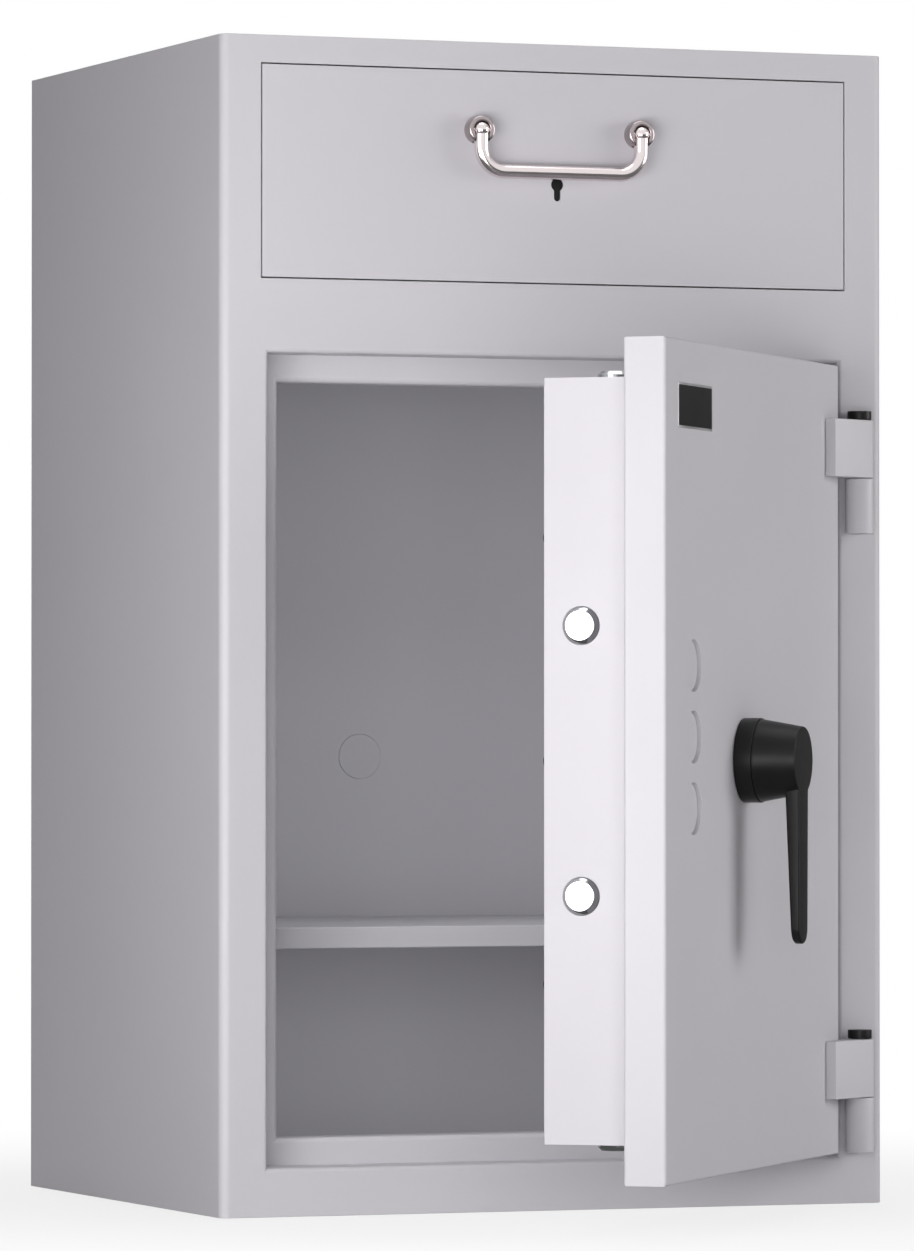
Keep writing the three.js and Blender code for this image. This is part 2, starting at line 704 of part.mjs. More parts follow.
// Guide bar behind the latch edge, which both latch bolts slide through
function latchGuide() {
  const left = boxLeft + BOX_WALL + GUIDE_THICKNESS;
  const reach = LATCH_BOLT_SPACING / 2 + BOLT_RADIUS + GUIDE_MARGIN;
  const bar = block(
    [left, left + GUIDE_THICKNESS],
    [boxFront, boltY + BOLT_RADIUS + GUIDE_MARGIN / 2],
    [openingMiddle - reach, openingMiddle + reach],
  );
  const span = [left - THROUGH, left + GUIDE_THICKNESS + THROUGH];
  const bores = latchBoltHeights().map((z) => barX(BOLT_RADIUS + BOLT_PLAY, span, boltY, z, ROUND_FACES));
  return cut(bar, bores);
}

// Guide block just inside the top or bottom of the box
function endGuide(z0) {
  const half = BOLT_RADIUS + GUIDE_MARGIN;
  const heights = [z0, z0 + GUIDE_THICKNESS];
  const depths = [boxFront, boltY + BOLT_RADIUS + GUIDE_MARGIN / 2];
  const guide = block([endBoltX - half, endBoltX + half], depths, heights);
  const span = [z0 - THROUGH, z0 + GUIDE_THICKNESS + THROUGH];
  return cut(guide, [barZ(BOLT_RADIUS + BOLT_PLAY, endBoltX, boltY, span, ROUND_FACES)]);
}

// A quarter turn from 45 degrees before to 45 degrees after moves a pin by its radius times root 2
const latchPinRing = LATCH_BOLT_STROKE / Math.SQRT2;
const rodPinRing = END_BOLT_STROKE / Math.SQRT2;
const latchPinOffset = latchPinRing / Math.SQRT2;
const rodPinOffset = rodPinRing / Math.SQRT2;

// Cam on the spindle: one pin to the rear for the latch bar, two to the front for the rods
function camDisc() {
  const disc = barY(CAM_RADIUS, handleX, [camFront, camBack], handleZ, ROUND_FACES);
  const latchPin = barY(
    LATCH_PIN_RADIUS,
    handleX + latchPinOffset,
    [camBack - CAM_THICKNESS / 2, barBack + BAR_LAYER_GAP / 2],
    handleZ + latchPinOffset,
  );
  const rodPins = [1, -1].map((side) =>
    barY(
      ROD_PIN_RADIUS,
      handleX + side * rodPinOffset,
      [rodFront - BAR_LAYER_GAP / 2, camFront + CAM_THICKNESS / 2],
      handleZ - side * rodPinOffset,
    ),
  );
  const bore = barY(SPINDLE_RADIUS + SEAT_GAP, handleX, [camFront - THROUGH, camBack + THROUGH], handleZ);
  return cut(join([disc, latchPin, ...rodPins]), [bore]);
}

// Latch bar: it carries both latch bolts, and its tongue has an upright slot for the cam's rear pin
function latchBar() {
  const left = latchTail + SEAT_GAP;
  const right = left + BAR_WIDTH;
  const half = LATCH_BOLT_SPACING / 2 + BAR_END_MARGIN;
  const pinX = handleX + latchPinOffset;
  const slotHalf = LATCH_PIN_RADIUS + LATCH_PIN_PLAY;
  const slotBottom = handleZ + latchPinOffset - slotHalf;
  const tongueTop = handleZ + latchPinRing + LATCH_PIN_RADIUS * 2;
  const tongueBottom = handleZ - LATCH_PIN_RADIUS * 2;
  const tongueEnd = pinX + slotHalf + LATCH_PIN_RADIUS * 2;
  const face = outline([
    [left, openingMiddle - half],
    [right, openingMiddle - half],
    [right, tongueBottom],
    [tongueEnd, tongueBottom],
    [tongueEnd, tongueTop],
    [pinX + slotHalf, tongueTop],
    [pinX + slotHalf, slotBottom],
    [pinX - slotHalf, slotBottom],
    [pinX - slotHalf, tongueTop],
    [right, tongueTop],
    [right, openingMiddle + half],
    [left, openingMiddle + half],
  ]);
  return alongY(face, barFront, barBack);
}

// Rod to the top or bottom bolt: up is 1 or -1. A slot in its foot, open to the spindle, takes a cam pin.
// Its outline is drawn as x against the distance from the handle towards the bolt.
function endRod(tail, up) {
  const inner = SPINDLE_RADIUS + SPINDLE_PLAY;
  const slotHalf = ROD_PIN_RADIUS + ROD_PIN_PLAY;
  const slotTop = slotHalf - rodPinOffset;
  const slotLow = -slotHalf - rodPinOffset;
  const slotEnd = rodPinRing + ROD_PIN_RADIUS * 2;
  const outer = slotEnd + ROD_PIN_RADIUS * 2;
  const footEnd = slotLow - ROD_PIN_RADIUS * 2;
  const armNear = ROD_THICKNESS - footEnd;
  const armFar = armNear + ROD_WIDTH;
  const barLeft = endBoltX - handleX - ROD_WIDTH / 2;
  const barRight = barLeft + ROD_WIDTH;
  const barEnd = Math.abs(tail - handleZ) + BOLT_FLAT_LENGTH - ROD_PIN_PLAY;
  const hook = [
    [inner, slotTop],
    [slotEnd, slotTop],
    [slotEnd, slotLow],
    [inner, slotLow],
    [inner, footEnd],
    [outer, footEnd],
  ].map(([x, along]) => [up * x, along]);
  const foot = up > 0
    ? [[inner, armNear], ...hook, [outer, armFar]]
    : [[-outer, armNear], ...hook.reverse(), [-inner, armFar]];
  const points = [[barLeft, barEnd], [barLeft, armNear], ...foot, [barRight, armFar], [barRight, barEnd]];
  const face = outline(points.map(([x, along]) => [handleX + x, handleZ + up * along]));
  return alongY(face, rodFront, rodBack);
}

// Fixed round base of the lever handle
function handleRosette() {
  const bore = SPINDLE_RADIUS + SEAT_GAP;
  const profile = [[bore, 0], [ROSETTE_RADIUS, 0]];
  profile.push(...quarterRound(ROSETTE_RADIUS, ROSETTE_HEIGHT, HUB_EDGE_ROUND / 2));
  profile.push([bore, ROSETTE_HEIGHT], [bore, 0]);
  return turnedForward(profile, handleX, front - SEAT_GAP, handleZ);
}

// Front end of the spindle, inside the lever's hub
const spindleFront = front - HANDLE_PROJECTION / 2 - SPINDLE_RADIUS;

// Lever: a cone hub with an arm that hangs from it, thinner towards its round end
function handleLever() {
  const base = ROSETTE_HEIGHT + 2 * SEAT_GAP;
  const hubProfile = [[0, base], [HUB_BASE_RADIUS, base]];
  hubProfile.push(...quarterRound(HUB_FRONT_RADIUS, HANDLE_PROJECTION, HUB_EDGE_ROUND));
  hubProfile.push([0, HANDLE_PROJECTION]);
  const hub = turnedForward(hubProfile, handleX, front, handleZ);
  const tipRadius = LEVER_TIP_WIDTH / 2;
  const arm = new THREE.Shape();
  arm.moveTo(handleX + LEVER_ROOT_WIDTH / 2, handleZ);
  arm.lineTo(handleX - LEVER_ROOT_WIDTH / 2, handleZ);
  arm.absarc(handleX, handleZ - LEVER_LENGTH + tipRadius, tipRadius, Math.PI, Math.PI * 2);
  const armFront = front - HANDLE_PROJECTION;
  const slab = alongY(arm, armFront, armFront + LEVER_ROOT_THICKNESS);
  const rootZ = handleZ - HUB_FRONT_RADIUS;
  const tipZ = handleZ - LEVER_LENGTH;
  const taper = outline([
    [armFront + LEVER_ROOT_THICKNESS, rootZ],
    [armFront + LEVER_TIP_THICKNESS, tipZ],
    [armFront + LEVER_TIP_THICKNESS, tipZ - THROUGH],
    [armFront + LEVER_ROOT_THICKNESS + THROUGH, tipZ - THROUGH],
    [armFront + LEVER_ROOT_THICKNESS + THROUGH, rootZ],
  ]);
  const wedge = alongX(taper, handleX - LEVER_ROOT_WIDTH, handleX + LEVER_ROOT_WIDTH);
  const socket = barY(SPINDLE_RADIUS + SEAT_GAP, handleX, [spindleFront - SEAT_GAP, front], handleZ);
  return cut(join([cut(slab, [wedge]), hub]), [socket]);
}

function handleSpindle() {
  return barY(SPINDLE_RADIUS, handleX, [spindleFront, camBack], handleZ);
}

// Drawer front with its keyhole: a round head above a narrower slot
function drawerFront() {
  const half = drawerOpeningHalf - DRAWER_GAP;
  const panel = block(
    [-half, half],
    [front, panelBack],
    [drawerOpeningBottom + DRAWER_GAP, drawerOpeningTop - DRAWER_GAP],
  );
  return cut(panel, [keyway(panelBack + THROUGH)]);
}

function keyway(back) {
  const shape = new THREE.Shape();
  const neck = Math.sqrt(KEYHOLE_HEAD_RADIUS ** 2 - KEYHOLE_SLOT_RADIUS ** 2);
  const meets = Math.atan2(-neck, KEYHOLE_SLOT_RADIUS);
  const slotEnd = keyholeZ - KEYHOLE_DROP + KEYHOLE_SLOT_RADIUS;
  shape.moveTo(KEYHOLE_SLOT_RADIUS, slotEnd);
  shape.absarc(0, keyholeZ, KEYHOLE_HEAD_RADIUS, meets, Math.PI - meets);
  shape.absarc(0, slotEnd, KEYHOLE_SLOT_RADIUS, Math.PI, Math.PI * 2);
  return alongY(shape, front - THROUGH, back);
}

// Drawer tray: two sides, a front wall and a floor that falls towards the rear, folded from sheet
function drawerTray() {
  const sides = [-trayHalf, trayHalf - TRAY_SHEET].map((x) =>
    block([x, x + TRAY_SHEET], [panelBack, trayBack], [trayBottom, trayTop]),
  );
  const floorTop = trayBottom + TRAY_FLOOR_FALL;
  const fold = outline([
    [trayWall, trayTop],
    [trayWall, floorTop],
    [trayBack, trayBottom],
    [trayBack, trayBottom + TRAY_SHEET],
    [trayWall + TRAY_SHEET, floorTop + TRAY_SHEET],
    [trayWall + TRAY_SHEET, trayTop],
  ]);
  const inside = alongX(fold, -trayHalf + TRAY_SHEET / 2, trayHalf - TRAY_SHEET / 2);
  const stiffener = block(
    [-trayHalf + TRAY_SHEET / 2, trayHalf - TRAY_SHEET / 2],
    [trayBack - TRAY_SHEET * 4, trayBack],
    [trayBottom, trayBottom + TRAY_SHEET],
  );
  const rodHoles = barX(
    BAFFLE_ROD_RADIUS + SEAT_GAP,
    [-trayHalf - THROUGH, trayHalf + THROUGH],
    baffleY,
    baffleZ,
    SMALL_ROUND_FACES / 2,
  );
  return cut(join([...sides, inside, stiffener]), [rodHoles]);
}

function baffleRod() {
  const half = trayHalf + TRAY_SHEET / 2;
  return barX(BAFFLE_ROD_RADIUS, [-half, half], baffleY, baffleZ, SMALL_ROUND_FACES / 2);
}

// Baffle: a flap with a rolled edge round its rod, drawn as it hangs upright
function baffleFlap() {
  const half = trayHalf - TRAY_SHEET - BAFFLE_SIDE_PLAY;
  const length = baffleZ - trayBottom - TRAY_SHEET - BAFFLE_FLOOR_PLAY;
  const sheet = block([-half, half], [-BAFFLE_SHEET / 2, BAFFLE_SHEET / 2], [-length, 0]);
  const roll = barX(BAFFLE_BARREL_RADIUS, [-half, half], 0, 0);
  const bore = barX(BAFFLE_ROD_RADIUS + PIN_PLAY, [-half - THROUGH, half + THROUGH], 0, 0);
  return cut(join([sheet, roll]), [bore]);
}

// Fixed runner: a channel on the casing wall with a slot towards the drawer
function outerRunner(side) {
  const wall = side * innerHalf;
  const inward = (distance) => wall - side * distance;
  const low = trayBottom + RUNNER_RISE;
  const high = low + RUNNER_HEIGHT;
  const slotLow = (low + high - RUNNER_SLOT) / 2;
  const slotHigh = slotLow + RUNNER_SLOT;
  const section = outline([
    [wall, low],
    [inward(RUNNER_DEPTH), low],
    [inward(RUNNER_DEPTH), slotLow],
    [inward(RUNNER_DEPTH - RUNNER_SHEET), slotLow],
    [inward(RUNNER_DEPTH - RUNNER_SHEET), low + RUNNER_SHEET],
    [inward(RUNNER_SHEET), low + RUNNER_SHEET],
    [inward(RUNNER_SHEET), high - RUNNER_SHEET],
    [inward(RUNNER_DEPTH - RUNNER_SHEET), high - RUNNER_SHEET],
    [inward(RUNNER_DEPTH - RUNNER_SHEET), slotHigh],
    [inward(RUNNER_DEPTH), slotHigh],
    [inward(RUNNER_DEPTH), high],
    [wall, high],
  ]);
  return alongY(section, frameBack, rearFace - RUNNER_REAR_MARGIN);
}

// Moving runner: a bar inside the channel and a neck through its slot to the tray
function innerRunner(side) {
  const wall = side * innerHalf;
  const inward = (distance) => wall - side * distance;
  const middle = trayBottom + RUNNER_RISE + RUNNER_HEIGHT / 2;
  const barHalf = RUNNER_HEIGHT / 2 - RUNNER_SHEET - RUNNER_PLAY;
  const neckHalf = RUNNER_SLOT / 2 - RUNNER_PLAY;
  const barNear = inward(RUNNER_DEPTH - RUNNER_SHEET - RUNNER_PLAY);
  const barFar = inward(RUNNER_DEPTH - RUNNER_SHEET - RUNNER_PLAY - RUNNER_BAR_WIDTH);
  const tray = inward(TRAY_SIDE_SPACE);
  const section = outline([
    [barFar, middle - barHalf],
    [barNear, middle - barHalf],
    [barNear, middle - neckHalf],
    [tray, middle - neckHalf],
    [tray, middle + neckHalf],
    [barNear, middle + neckHalf],
    [barNear, middle + barHalf],
    [barFar, middle + barHalf],
  ]);
  return alongY(section, front + RUNNER_FRONT_SETBACK, trayBack);
}

// Drawer lock: a case behind the drawer front, with a slot for the bolt that drops behind the frame
const lockBoltBack = panelBack + LOCK_DEPTH - LOCK_BOLT_SETBACK;
const lockBoltFront = lockBoltBack - LOCK_BOLT_THICKNESS;
const lockBoltTop = lockBottom + LOCK_BOLT_HELD;

function lockCase() {
  const half = LOCK_WIDTH / 2;
  const depths = [panelBack, panelBack + LOCK_DEPTH];
  const body = block([-half, half], depths, [lockBottom, lockBottom + LOCK_HEIGHT]);
  const slotHalf = LOCK_BOLT_WIDTH / 2 + LOCK_BOLT_PLAY;
  const slot = block(
    [-slotHalf, slotHalf],
    [lockBoltFront - LOCK_BOLT_PLAY, lockBoltBack + LOCK_BOLT_PLAY],
    [lockBottom - THROUGH, lockBoltTop + LOCK_BOLT_PLAY],
  );
  return cut(body, [slot, keyway(panelBack + KEYWAY_DEPTH)]);
}

function lockBolt() {
  const half = LOCK_BOLT_WIDTH / 2;
  const heights = [lockBottom - LOCK_BOLT_SHOWN, lockBoltTop];
  return block([-half, half], [lockBoltFront, lockBoltBack], heights);
}

// Cup of the drawer handle: hollow for the ball end, slotted below for the hanging bar, bored for its pin
function handleCup(x) {
  const profile = [[0, 0], [CUP_RADIUS, 0]];
  profile.push(...quarterRound(CUP_RADIUS, CUP_DEPTH, CUP_RIM_ROUND));
  profile.push([CUP_HOLLOW_RADIUS, CUP_DEPTH], [CUP_HOLLOW_RADIUS, CUP_BASE], [0, CUP_BASE]);
  const cup = turnedForward(profile, x, front, pullPivotZ, SMALL_ROUND_FACES);
  const slotHalf = PULL_BAR_RADIUS + SEAT_GAP;
  const slot = block(
    [x - slotHalf, x + slotHalf],
    [front - CUP_DEPTH - THROUGH, pullPivotY + slotHalf],
    [pullPivotZ - CUP_RADIUS - THROUGH, pullPivotZ],
  );
  const pinSpan = [x - CUP_RADIUS - THROUGH, x + CUP_RADIUS + THROUGH];
  const radius = CROSS_PIN_RADIUS + SEAT_GAP;
  return cut(cup, [slot, barX(radius, pinSpan, pullPivotY, pullPivotZ, SMALL_ROUND_FACES / 2)]);
}

function crossPin(x) {
  const half = CUP_RADIUS - SEAT_GAP * 3;
  return barX(CROSS_PIN_RADIUS, [x - half, x + half], pullPivotY, pullPivotZ, SMALL_ROUND_FACES / 2);
}

// Centre line of the hanging bar: down one leg, round a bend, across, round a bend and up the other leg
class PullLine extends THREE.Curve {
  getPoint(t, target = new THREE.Vector3()) {
    const half = PULL_SPACING / 2;
    const leg = PULL_DROP - PULL_BEND_RADIUS;
    const bend = (Math.PI / 2) * PULL_BEND_RADIUS;
    const across = half - PULL_BEND_RADIUS;
    const total = leg + bend + across;
    const mirror = t < 0.5 ? -1 : 1;
    const along = (1 - Math.abs(2 * t - 1)) * total;
    if (along <= leg) {
      return target.set(mirror * half, 0, -along);
    }
    if (along <= leg + bend) {
      const angle = (along - leg) / PULL_BEND_RADIUS;
      const x = half - PULL_BEND_RADIUS + PULL_BEND_RADIUS * Math.cos(angle);
      return target.set(mirror * x, 0, -leg - PULL_BEND_RADIUS * Math.sin(angle));
    }
    return target.set(mirror * (total - along), 0, -PULL_DROP);
  }
}

// Drawer handle: one round bar with a bored ball at each end
function pullBar() {
  const circle = new THREE.Shape().absarc(0, 0, PULL_BAR_RADIUS, 0, Math.PI * 2);
  const settings = { steps: ROUND_FACES, curveSegments: SMALL_ROUND_FACES / 2, extrudePath: new PullLine() };
  const bar = new THREE.ExtrudeGeometry(circle, settings);
  const ends = [-PULL_SPACING / 2, PULL_SPACING / 2];
  const ballFaces = [SMALL_ROUND_FACES / 2, SMALL_ROUND_FACES / 3];
  const balls = ends.map((x) => new THREE.SphereGeometry(BALL_RADIUS, ...ballFaces).translate(x, 0, 0));
  const bores = ends.map((x) =>
    barX(CROSS_PIN_RADIUS + PIN_PLAY, [x - CUP_RADIUS, x + CUP_RADIUS], 0, 0, SMALL_ROUND_FACES / 2),
  );
  return cut(join([bar, ...balls]), bores).translate(0, pullPivotY, pullPivotZ);
}

// The whole safe, put together
const safe = new THREE.Group();

piece("outer_casing", outerCasing(), paint, safe);
piece("rear_wall", rearWall(), innerPaint, safe);
piece("front_frame", frontFrame(), paint, safe);
piece("door_lip_frame", lipFrame(), paint, safe);
piece("divider_panel", divider(), innerPaint, safe);
piece("anchor_cap", anchorCap(), innerPaint, safe);
piece("shelf", shelf(), innerPaint, safe);

const bracketFront = front + SHELF_FRONT_SETBACK + BRACKET_INSET;
const bracketRear = rearFace - BRACKET_INSET - BRACKET_LENGTH;
for (const [side, hand] of [[-1, "left"], [1, "right"]]) {
  piece(`shelf_bracket_front_${hand}`, shelfBracket(side, bracketFront), innerPaint, safe);
  piece(`shelf_bracket_rear_${hand}`, shelfBracket(side, bracketRear), innerPaint, safe);
  piece(`runner_fixed_${hand}`, outerRunner(side), zinc, safe);
}

const hingeSeams = [["upper", doorTop - UPPER_HINGE_DROP], ["lower", doorBottom + LOWER_HINGE_RISE]];
for (const [place, seam] of hingeSeams) {
  const leafTop = seam + HINGE_SEAM + LEAF_HEIGHT;
  const capSeat = leafTop + HINGE_SEAM;
  piece(`hinge_knuckle_${place}`, hingeKnuckle(seam), paint, safe);
  piece(`hinge_pin_${place}`, barZ(PIN_RADIUS, hingeX, hingeY, [seam - KNUCKLE_HEIGHT, capSeat]), zinc, safe);
  const cap = barZ(CAP_RADIUS, hingeX, hingeY, [capSeat, capSeat + CAP_HEIGHT]);
  piece(`hinge_cap_${place}`, cap, blackPlastic, safe);
}

// The door turns about the hinge axis, and what it carries is drawn as if it were shut
const door = new THREE.Group();
door.position.set(hingeX, hingeY, 0);
door.rotation.z = THREE.MathUtils.degToRad(DOOR_OPEN_DEGREES);
safe.add(door);
const leaf = new THREE.Group();
leaf.position.set(-hingeX, -hingeY, 0);
door.add(leaf);

piece("door_plate", doorPlate(), paint, leaf);
blankHeights().forEach((z, i) => piece(`lock_blank_${i + 1}`, lockBlank(z), paint, leaf));
for (const [place, seam] of hingeSeams) {
  piece(`hinge_leaf_${place}`, hingeLeaf(seam + HINGE_SEAM), paint, leaf);
}
piece("bolt_box", boltBox(), paint, leaf);
piece("bolt_box_cover", boxCover(), paint, leaf);
screwPlaces().forEach(([x, z], i) => piece(`cover_screw_${i + 1}`, coverScrew(x, z), blackPlastic, leaf));
piece("bolt_guide_latch", latchGuide(), zinc, leaf);
piece("bolt_guide_top", endGuide(boxTop - BOX_WALL - SEAT_GAP - GUIDE_THICKNESS), zinc, leaf);
piece("bolt_guide_bottom", endGuide(boxBottom + BOX_WALL + SEAT_GAP), zinc, leaf);
piece("handle_rosette", handleRosette(), blackPlastic, leaf);

// Turned by the lever
piece("handle_lever", handleLever(), blackPlastic, leaf);
piece("handle_spindle", handleSpindle(), zinc, leaf);
piece("cam_disc", camDisc(), zinc, leaf);

// Slid by the cam
piece("latch_bar", latchBar(), zinc, leaf);
["upper", "lower"].forEach((place, i) => {
  piece(`latch_bolt_${place}`, latchBolt(latchBoltHeights()[i]), chrome, leaf);
});
piece("top_rod", endRod(topTail, 1), zinc, leaf);
piece("top_bolt", endBolt(topTail, 1), chrome, leaf);
piece("bottom_rod", endRod(bottomTail, -1), zinc, leaf);
piece("bottom_bolt", endBolt(bottomTail, -1), chrome, leaf);

// Drawer, shut
piece("drawer_front", drawerFront(), paint, safe);
piece("drawer_tray", drawerTray(), zinc, safe);
piece("runner_moving_left", innerRunner(-1), zinc, safe);
piece("runner_moving_right", innerRunner(1), zinc, safe);
piece("drawer_lock_case", lockCase(), zinc, safe);
piece("drawer_lock_bolt", lockBolt(), zinc, safe);
piece("baffle_rod", baffleRod(), zinc, safe);
const baffle = piece("drop_baffle", baffleFlap(), zinc, safe);
baffle.position.set(0, baffleY, baffleZ);
baffle.rotation.x = THREE.MathUtils.degToRad(BAFFLE_OPEN_DEGREES);
for (const [side, hand] of [[-1, "left"], [1, "right"]]) {
  const x = (side * PULL_SPACING) / 2;
  piece(`handle_cup_${hand}`, handleCup(x), polished, safe);
  piece(`handle_cross_pin_${hand}`, crossPin(x), polished, safe);
}
piece("drawer_handle", pullBar(), polished, safe);

export default safe;
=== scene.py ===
# %% [markdown]
# # A drop safe with a deposit drawer, standing open
#
# The real object is a welded steel body with a powder coat. A drawer on top takes deposits, and a
# thick door below hangs on two weld-on hinges, with a lever handle and four round bolts.
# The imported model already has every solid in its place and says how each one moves. This lesson
# dresses that model: better surfaces where the eye lands, a finish on every piece, and plain light.

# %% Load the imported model
import json
import math

import bmesh
import bpy
import numpy as np
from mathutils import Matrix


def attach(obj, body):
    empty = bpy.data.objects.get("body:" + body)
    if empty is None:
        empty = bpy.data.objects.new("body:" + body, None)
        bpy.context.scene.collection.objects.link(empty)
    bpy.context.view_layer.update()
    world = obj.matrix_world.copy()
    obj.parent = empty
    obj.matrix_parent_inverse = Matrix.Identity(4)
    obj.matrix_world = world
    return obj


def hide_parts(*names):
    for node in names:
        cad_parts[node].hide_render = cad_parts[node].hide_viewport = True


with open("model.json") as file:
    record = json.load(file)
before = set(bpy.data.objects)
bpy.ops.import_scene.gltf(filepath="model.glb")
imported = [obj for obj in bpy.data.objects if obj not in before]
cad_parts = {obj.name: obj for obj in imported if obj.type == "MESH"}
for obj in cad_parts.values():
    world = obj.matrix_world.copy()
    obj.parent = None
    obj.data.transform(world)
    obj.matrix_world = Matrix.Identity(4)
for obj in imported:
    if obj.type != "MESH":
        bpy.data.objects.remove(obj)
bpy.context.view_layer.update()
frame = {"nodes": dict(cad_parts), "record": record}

body_of_node = {n: b for b, nodes in frame["record"]["behaviour"]["bodies"].items() for n in nodes}

# %% [markdown]
# ## The camera first
#
# The photograph was taken with a long lens, a little left of the front, at two fifths of the safe's
# height. The place and the focal length come from measured corners of the body: with the long side
# of the picture as 36 mm of film, 7738 pixels of focal length out of 1251 give about 223 mm.
# The view tilts up by under one degree, so that no lens shift is needed.

# %% Camera
PICTURE = (914, 1251)
FOCAL_PIXELS = 7738.0
HORIZON_BELOW_CENTRE = 110.9
SENSOR = 36.0
CAMERA_PLACE = (-2.4545, -6.2738, 0.398)
VIEW_DIRECTION = (0.3653, 0.9309)

lens = bpy.data.cameras.new("camera")
lens.sensor_width = SENSOR
lens.lens = FOCAL_PIXELS / max(PICTURE) * SENSOR
lens.clip_end = 200
camera = bpy.data.objects.new("camera", lens)
camera.location = CAMERA_PLACE
tilt = math.atan(HORIZON_BELOW_CENTRE / FOCAL_PIXELS)
camera.rotation_euler = (math.pi / 2 + tilt, 0, -math.atan2(*VIEW_DIRECTION))
bpy.context.scene.collection.objects.link(camera)
bpy.context.scene.camera = camera
print("focal length", round(lens.lens, 1), "mm, tilt", round(math.degrees(tilt), 2), "degrees")

# %% [markdown]
# ## Places in the safe
#
# Sizes here are millimetres, as on a drawing, and turn into metres only when a mesh is made.
# The door stands open at about 50 degrees. Its pieces are worked out as if it were shut, and one
# rotation about the hinge pins then carries all their points to where the open door is.

# %% Places
MM = 0.001
FRONT = -250.0
HINGE = np.array([272.3, -263.7, 0.0])
DOOR_ANGLE = math.radians(50.3)
HANDLE = np.array([-32.5, FRONT, 378.5])
PULL_PIVOT = np.array([0.0, FRONT - 9.5, 905.8])
PULL_HALF = 72.5
FORWARDS = (0, -1, 0)
WELD_DISTANCE = 2e-6


def on_open_door(points):
    """Rotates points about the hinge line: p' = hinge + R(angle) (p - hinge), R in the XY plane."""
    turn = np.array([
        [math.cos(DOOR_ANGLE), -math.sin(DOOR_ANGLE), 0],
        [math.sin(DOOR_ANGLE), math.cos(DOOR_ANGLE), 0],
        [0, 0, 1],
    ])
    return (np.asarray(points) - HINGE) @ turn.T + HINGE


# %% [markdown]
# ## Surfaces as grids
#
# Most hardware on a safe is turned, bent or drawn metal, so three kinds of surface are enough.
# A turned piece sends a profile round an axis. A drawn piece carries a flat outline along an axis.
# A bent bar carries a circle along a curved line. Each is one array of points in rows and columns,
# and neighbouring points make the quads. Faces are then shaded smooth, except across sharp edges.

# %% Grid of quads
def grid_quads(rows, columns, loop=False):
    """Point numbers of the quads between rows. Columns always close, rows only in a loop."""
    row = np.arange(rows if loop else rows - 1)[:, None]
    column = np.arange(columns)[None, :]
    below, beside = (row + 1) % rows, (column + 1) % columns
    here, under = row * columns, below * columns
    corners = [here + column, here + beside, under + beside, under + column]
    return np.stack(corners, -1).reshape(-1, 4)


def ringed(rings, loop=False):
    """Joins rings of points into a skin, and closes its two ends with flat caps unless it loops."""
    rows, columns = rings.shape[:2]
    faces = grid_quads(rows, columns, loop).tolist()
    if not loop:
        faces.append(np.arange(columns)[::-1].tolist())
        faces.append((np.arange(columns) + (rows - 1) * columns).tolist())
    return rings.reshape(-1, 3), faces


# %% Three kinds of surface
def turned(profile, centre, direction, steps=96, loop=False):
    """Point(i, a) = centre + height_i * direction + radius_i * (cos a * side + sin a * up)."""
    radius, height = np.asarray(profile, float).T
    direction = np.asarray(direction, float) / np.linalg.norm(direction)
    side = np.cross(direction, [0.31, 0.52, 0.79])
    side /= np.linalg.norm(side)
    up = np.cross(direction, side)
    angle = np.linspace(0, 2 * math.pi, steps, endpoint=False)[:, None]
    circle = np.cos(angle) * side + np.sin(angle) * up
    rings = np.asarray(centre) + height[:, None, None] * direction + radius[:, None, None] * circle
    return ringed(rings, loop)


def inwards(outline):
    """Inward mitre of each corner of a counter-clockwise outline: the sum of its two edge normals,
    divided by one plus their dot product."""
    after = np.roll(outline, -1, 0) - outline
    after /= np.linalg.norm(after, axis=1)[:, None]
    normal_after = np.stack([-after[:, 1], after[:, 0]], -1)
    normal_before = np.roll(normal_after, 1, 0)
    return (normal_after + normal_before) / (1 + (normal_after * normal_before).sum(1))[:, None]


def drawn(outline, low, high, rim=0.8, steps=5):
    """An outline in XY carried from low to high. Near each end the ring moves inwards by
    rim * (1 - sin t) at a height rim * (1 - cos t) from it, which rounds the rim over."""
    outline = np.asarray(outline, float)
    shrink = inwards(outline)
    t = np.linspace(0, math.pi / 2, steps + 1)
    inset = rim * (1 - np.sin(t))
    rise = rim * (1 - np.cos(t))
    insets = np.concatenate([inset, inset[::-1]])
    heights = np.concatenate([low + rise, high - rise[::-1]])
    rings = outline + insets[:, None, None] * shrink
    level = np.broadcast_to(heights[:, None, None], (*rings.shape[:2], 1))
    return ringed(np.concatenate([rings, level], -1))


def bent(path, radius, steps=40):
    """Point(i, a) = path_i + radius * (cos a * across_i + sin a * Y), on a path in an XZ plane."""
    along = np.gradient(path, axis=0)
    along /= np.linalg.norm(along, axis=1)[:, None]
    depth = np.array([0.0, 1.0, 0.0])
    across = np.cross(along, depth)
    angle = np.linspace(0, 2 * math.pi, steps, endpoint=False)[None, :, None]
    circle = np.cos(angle) * across[:, None] + np.sin(angle) * depth
    return ringed(path[:, None] + radius * circle)


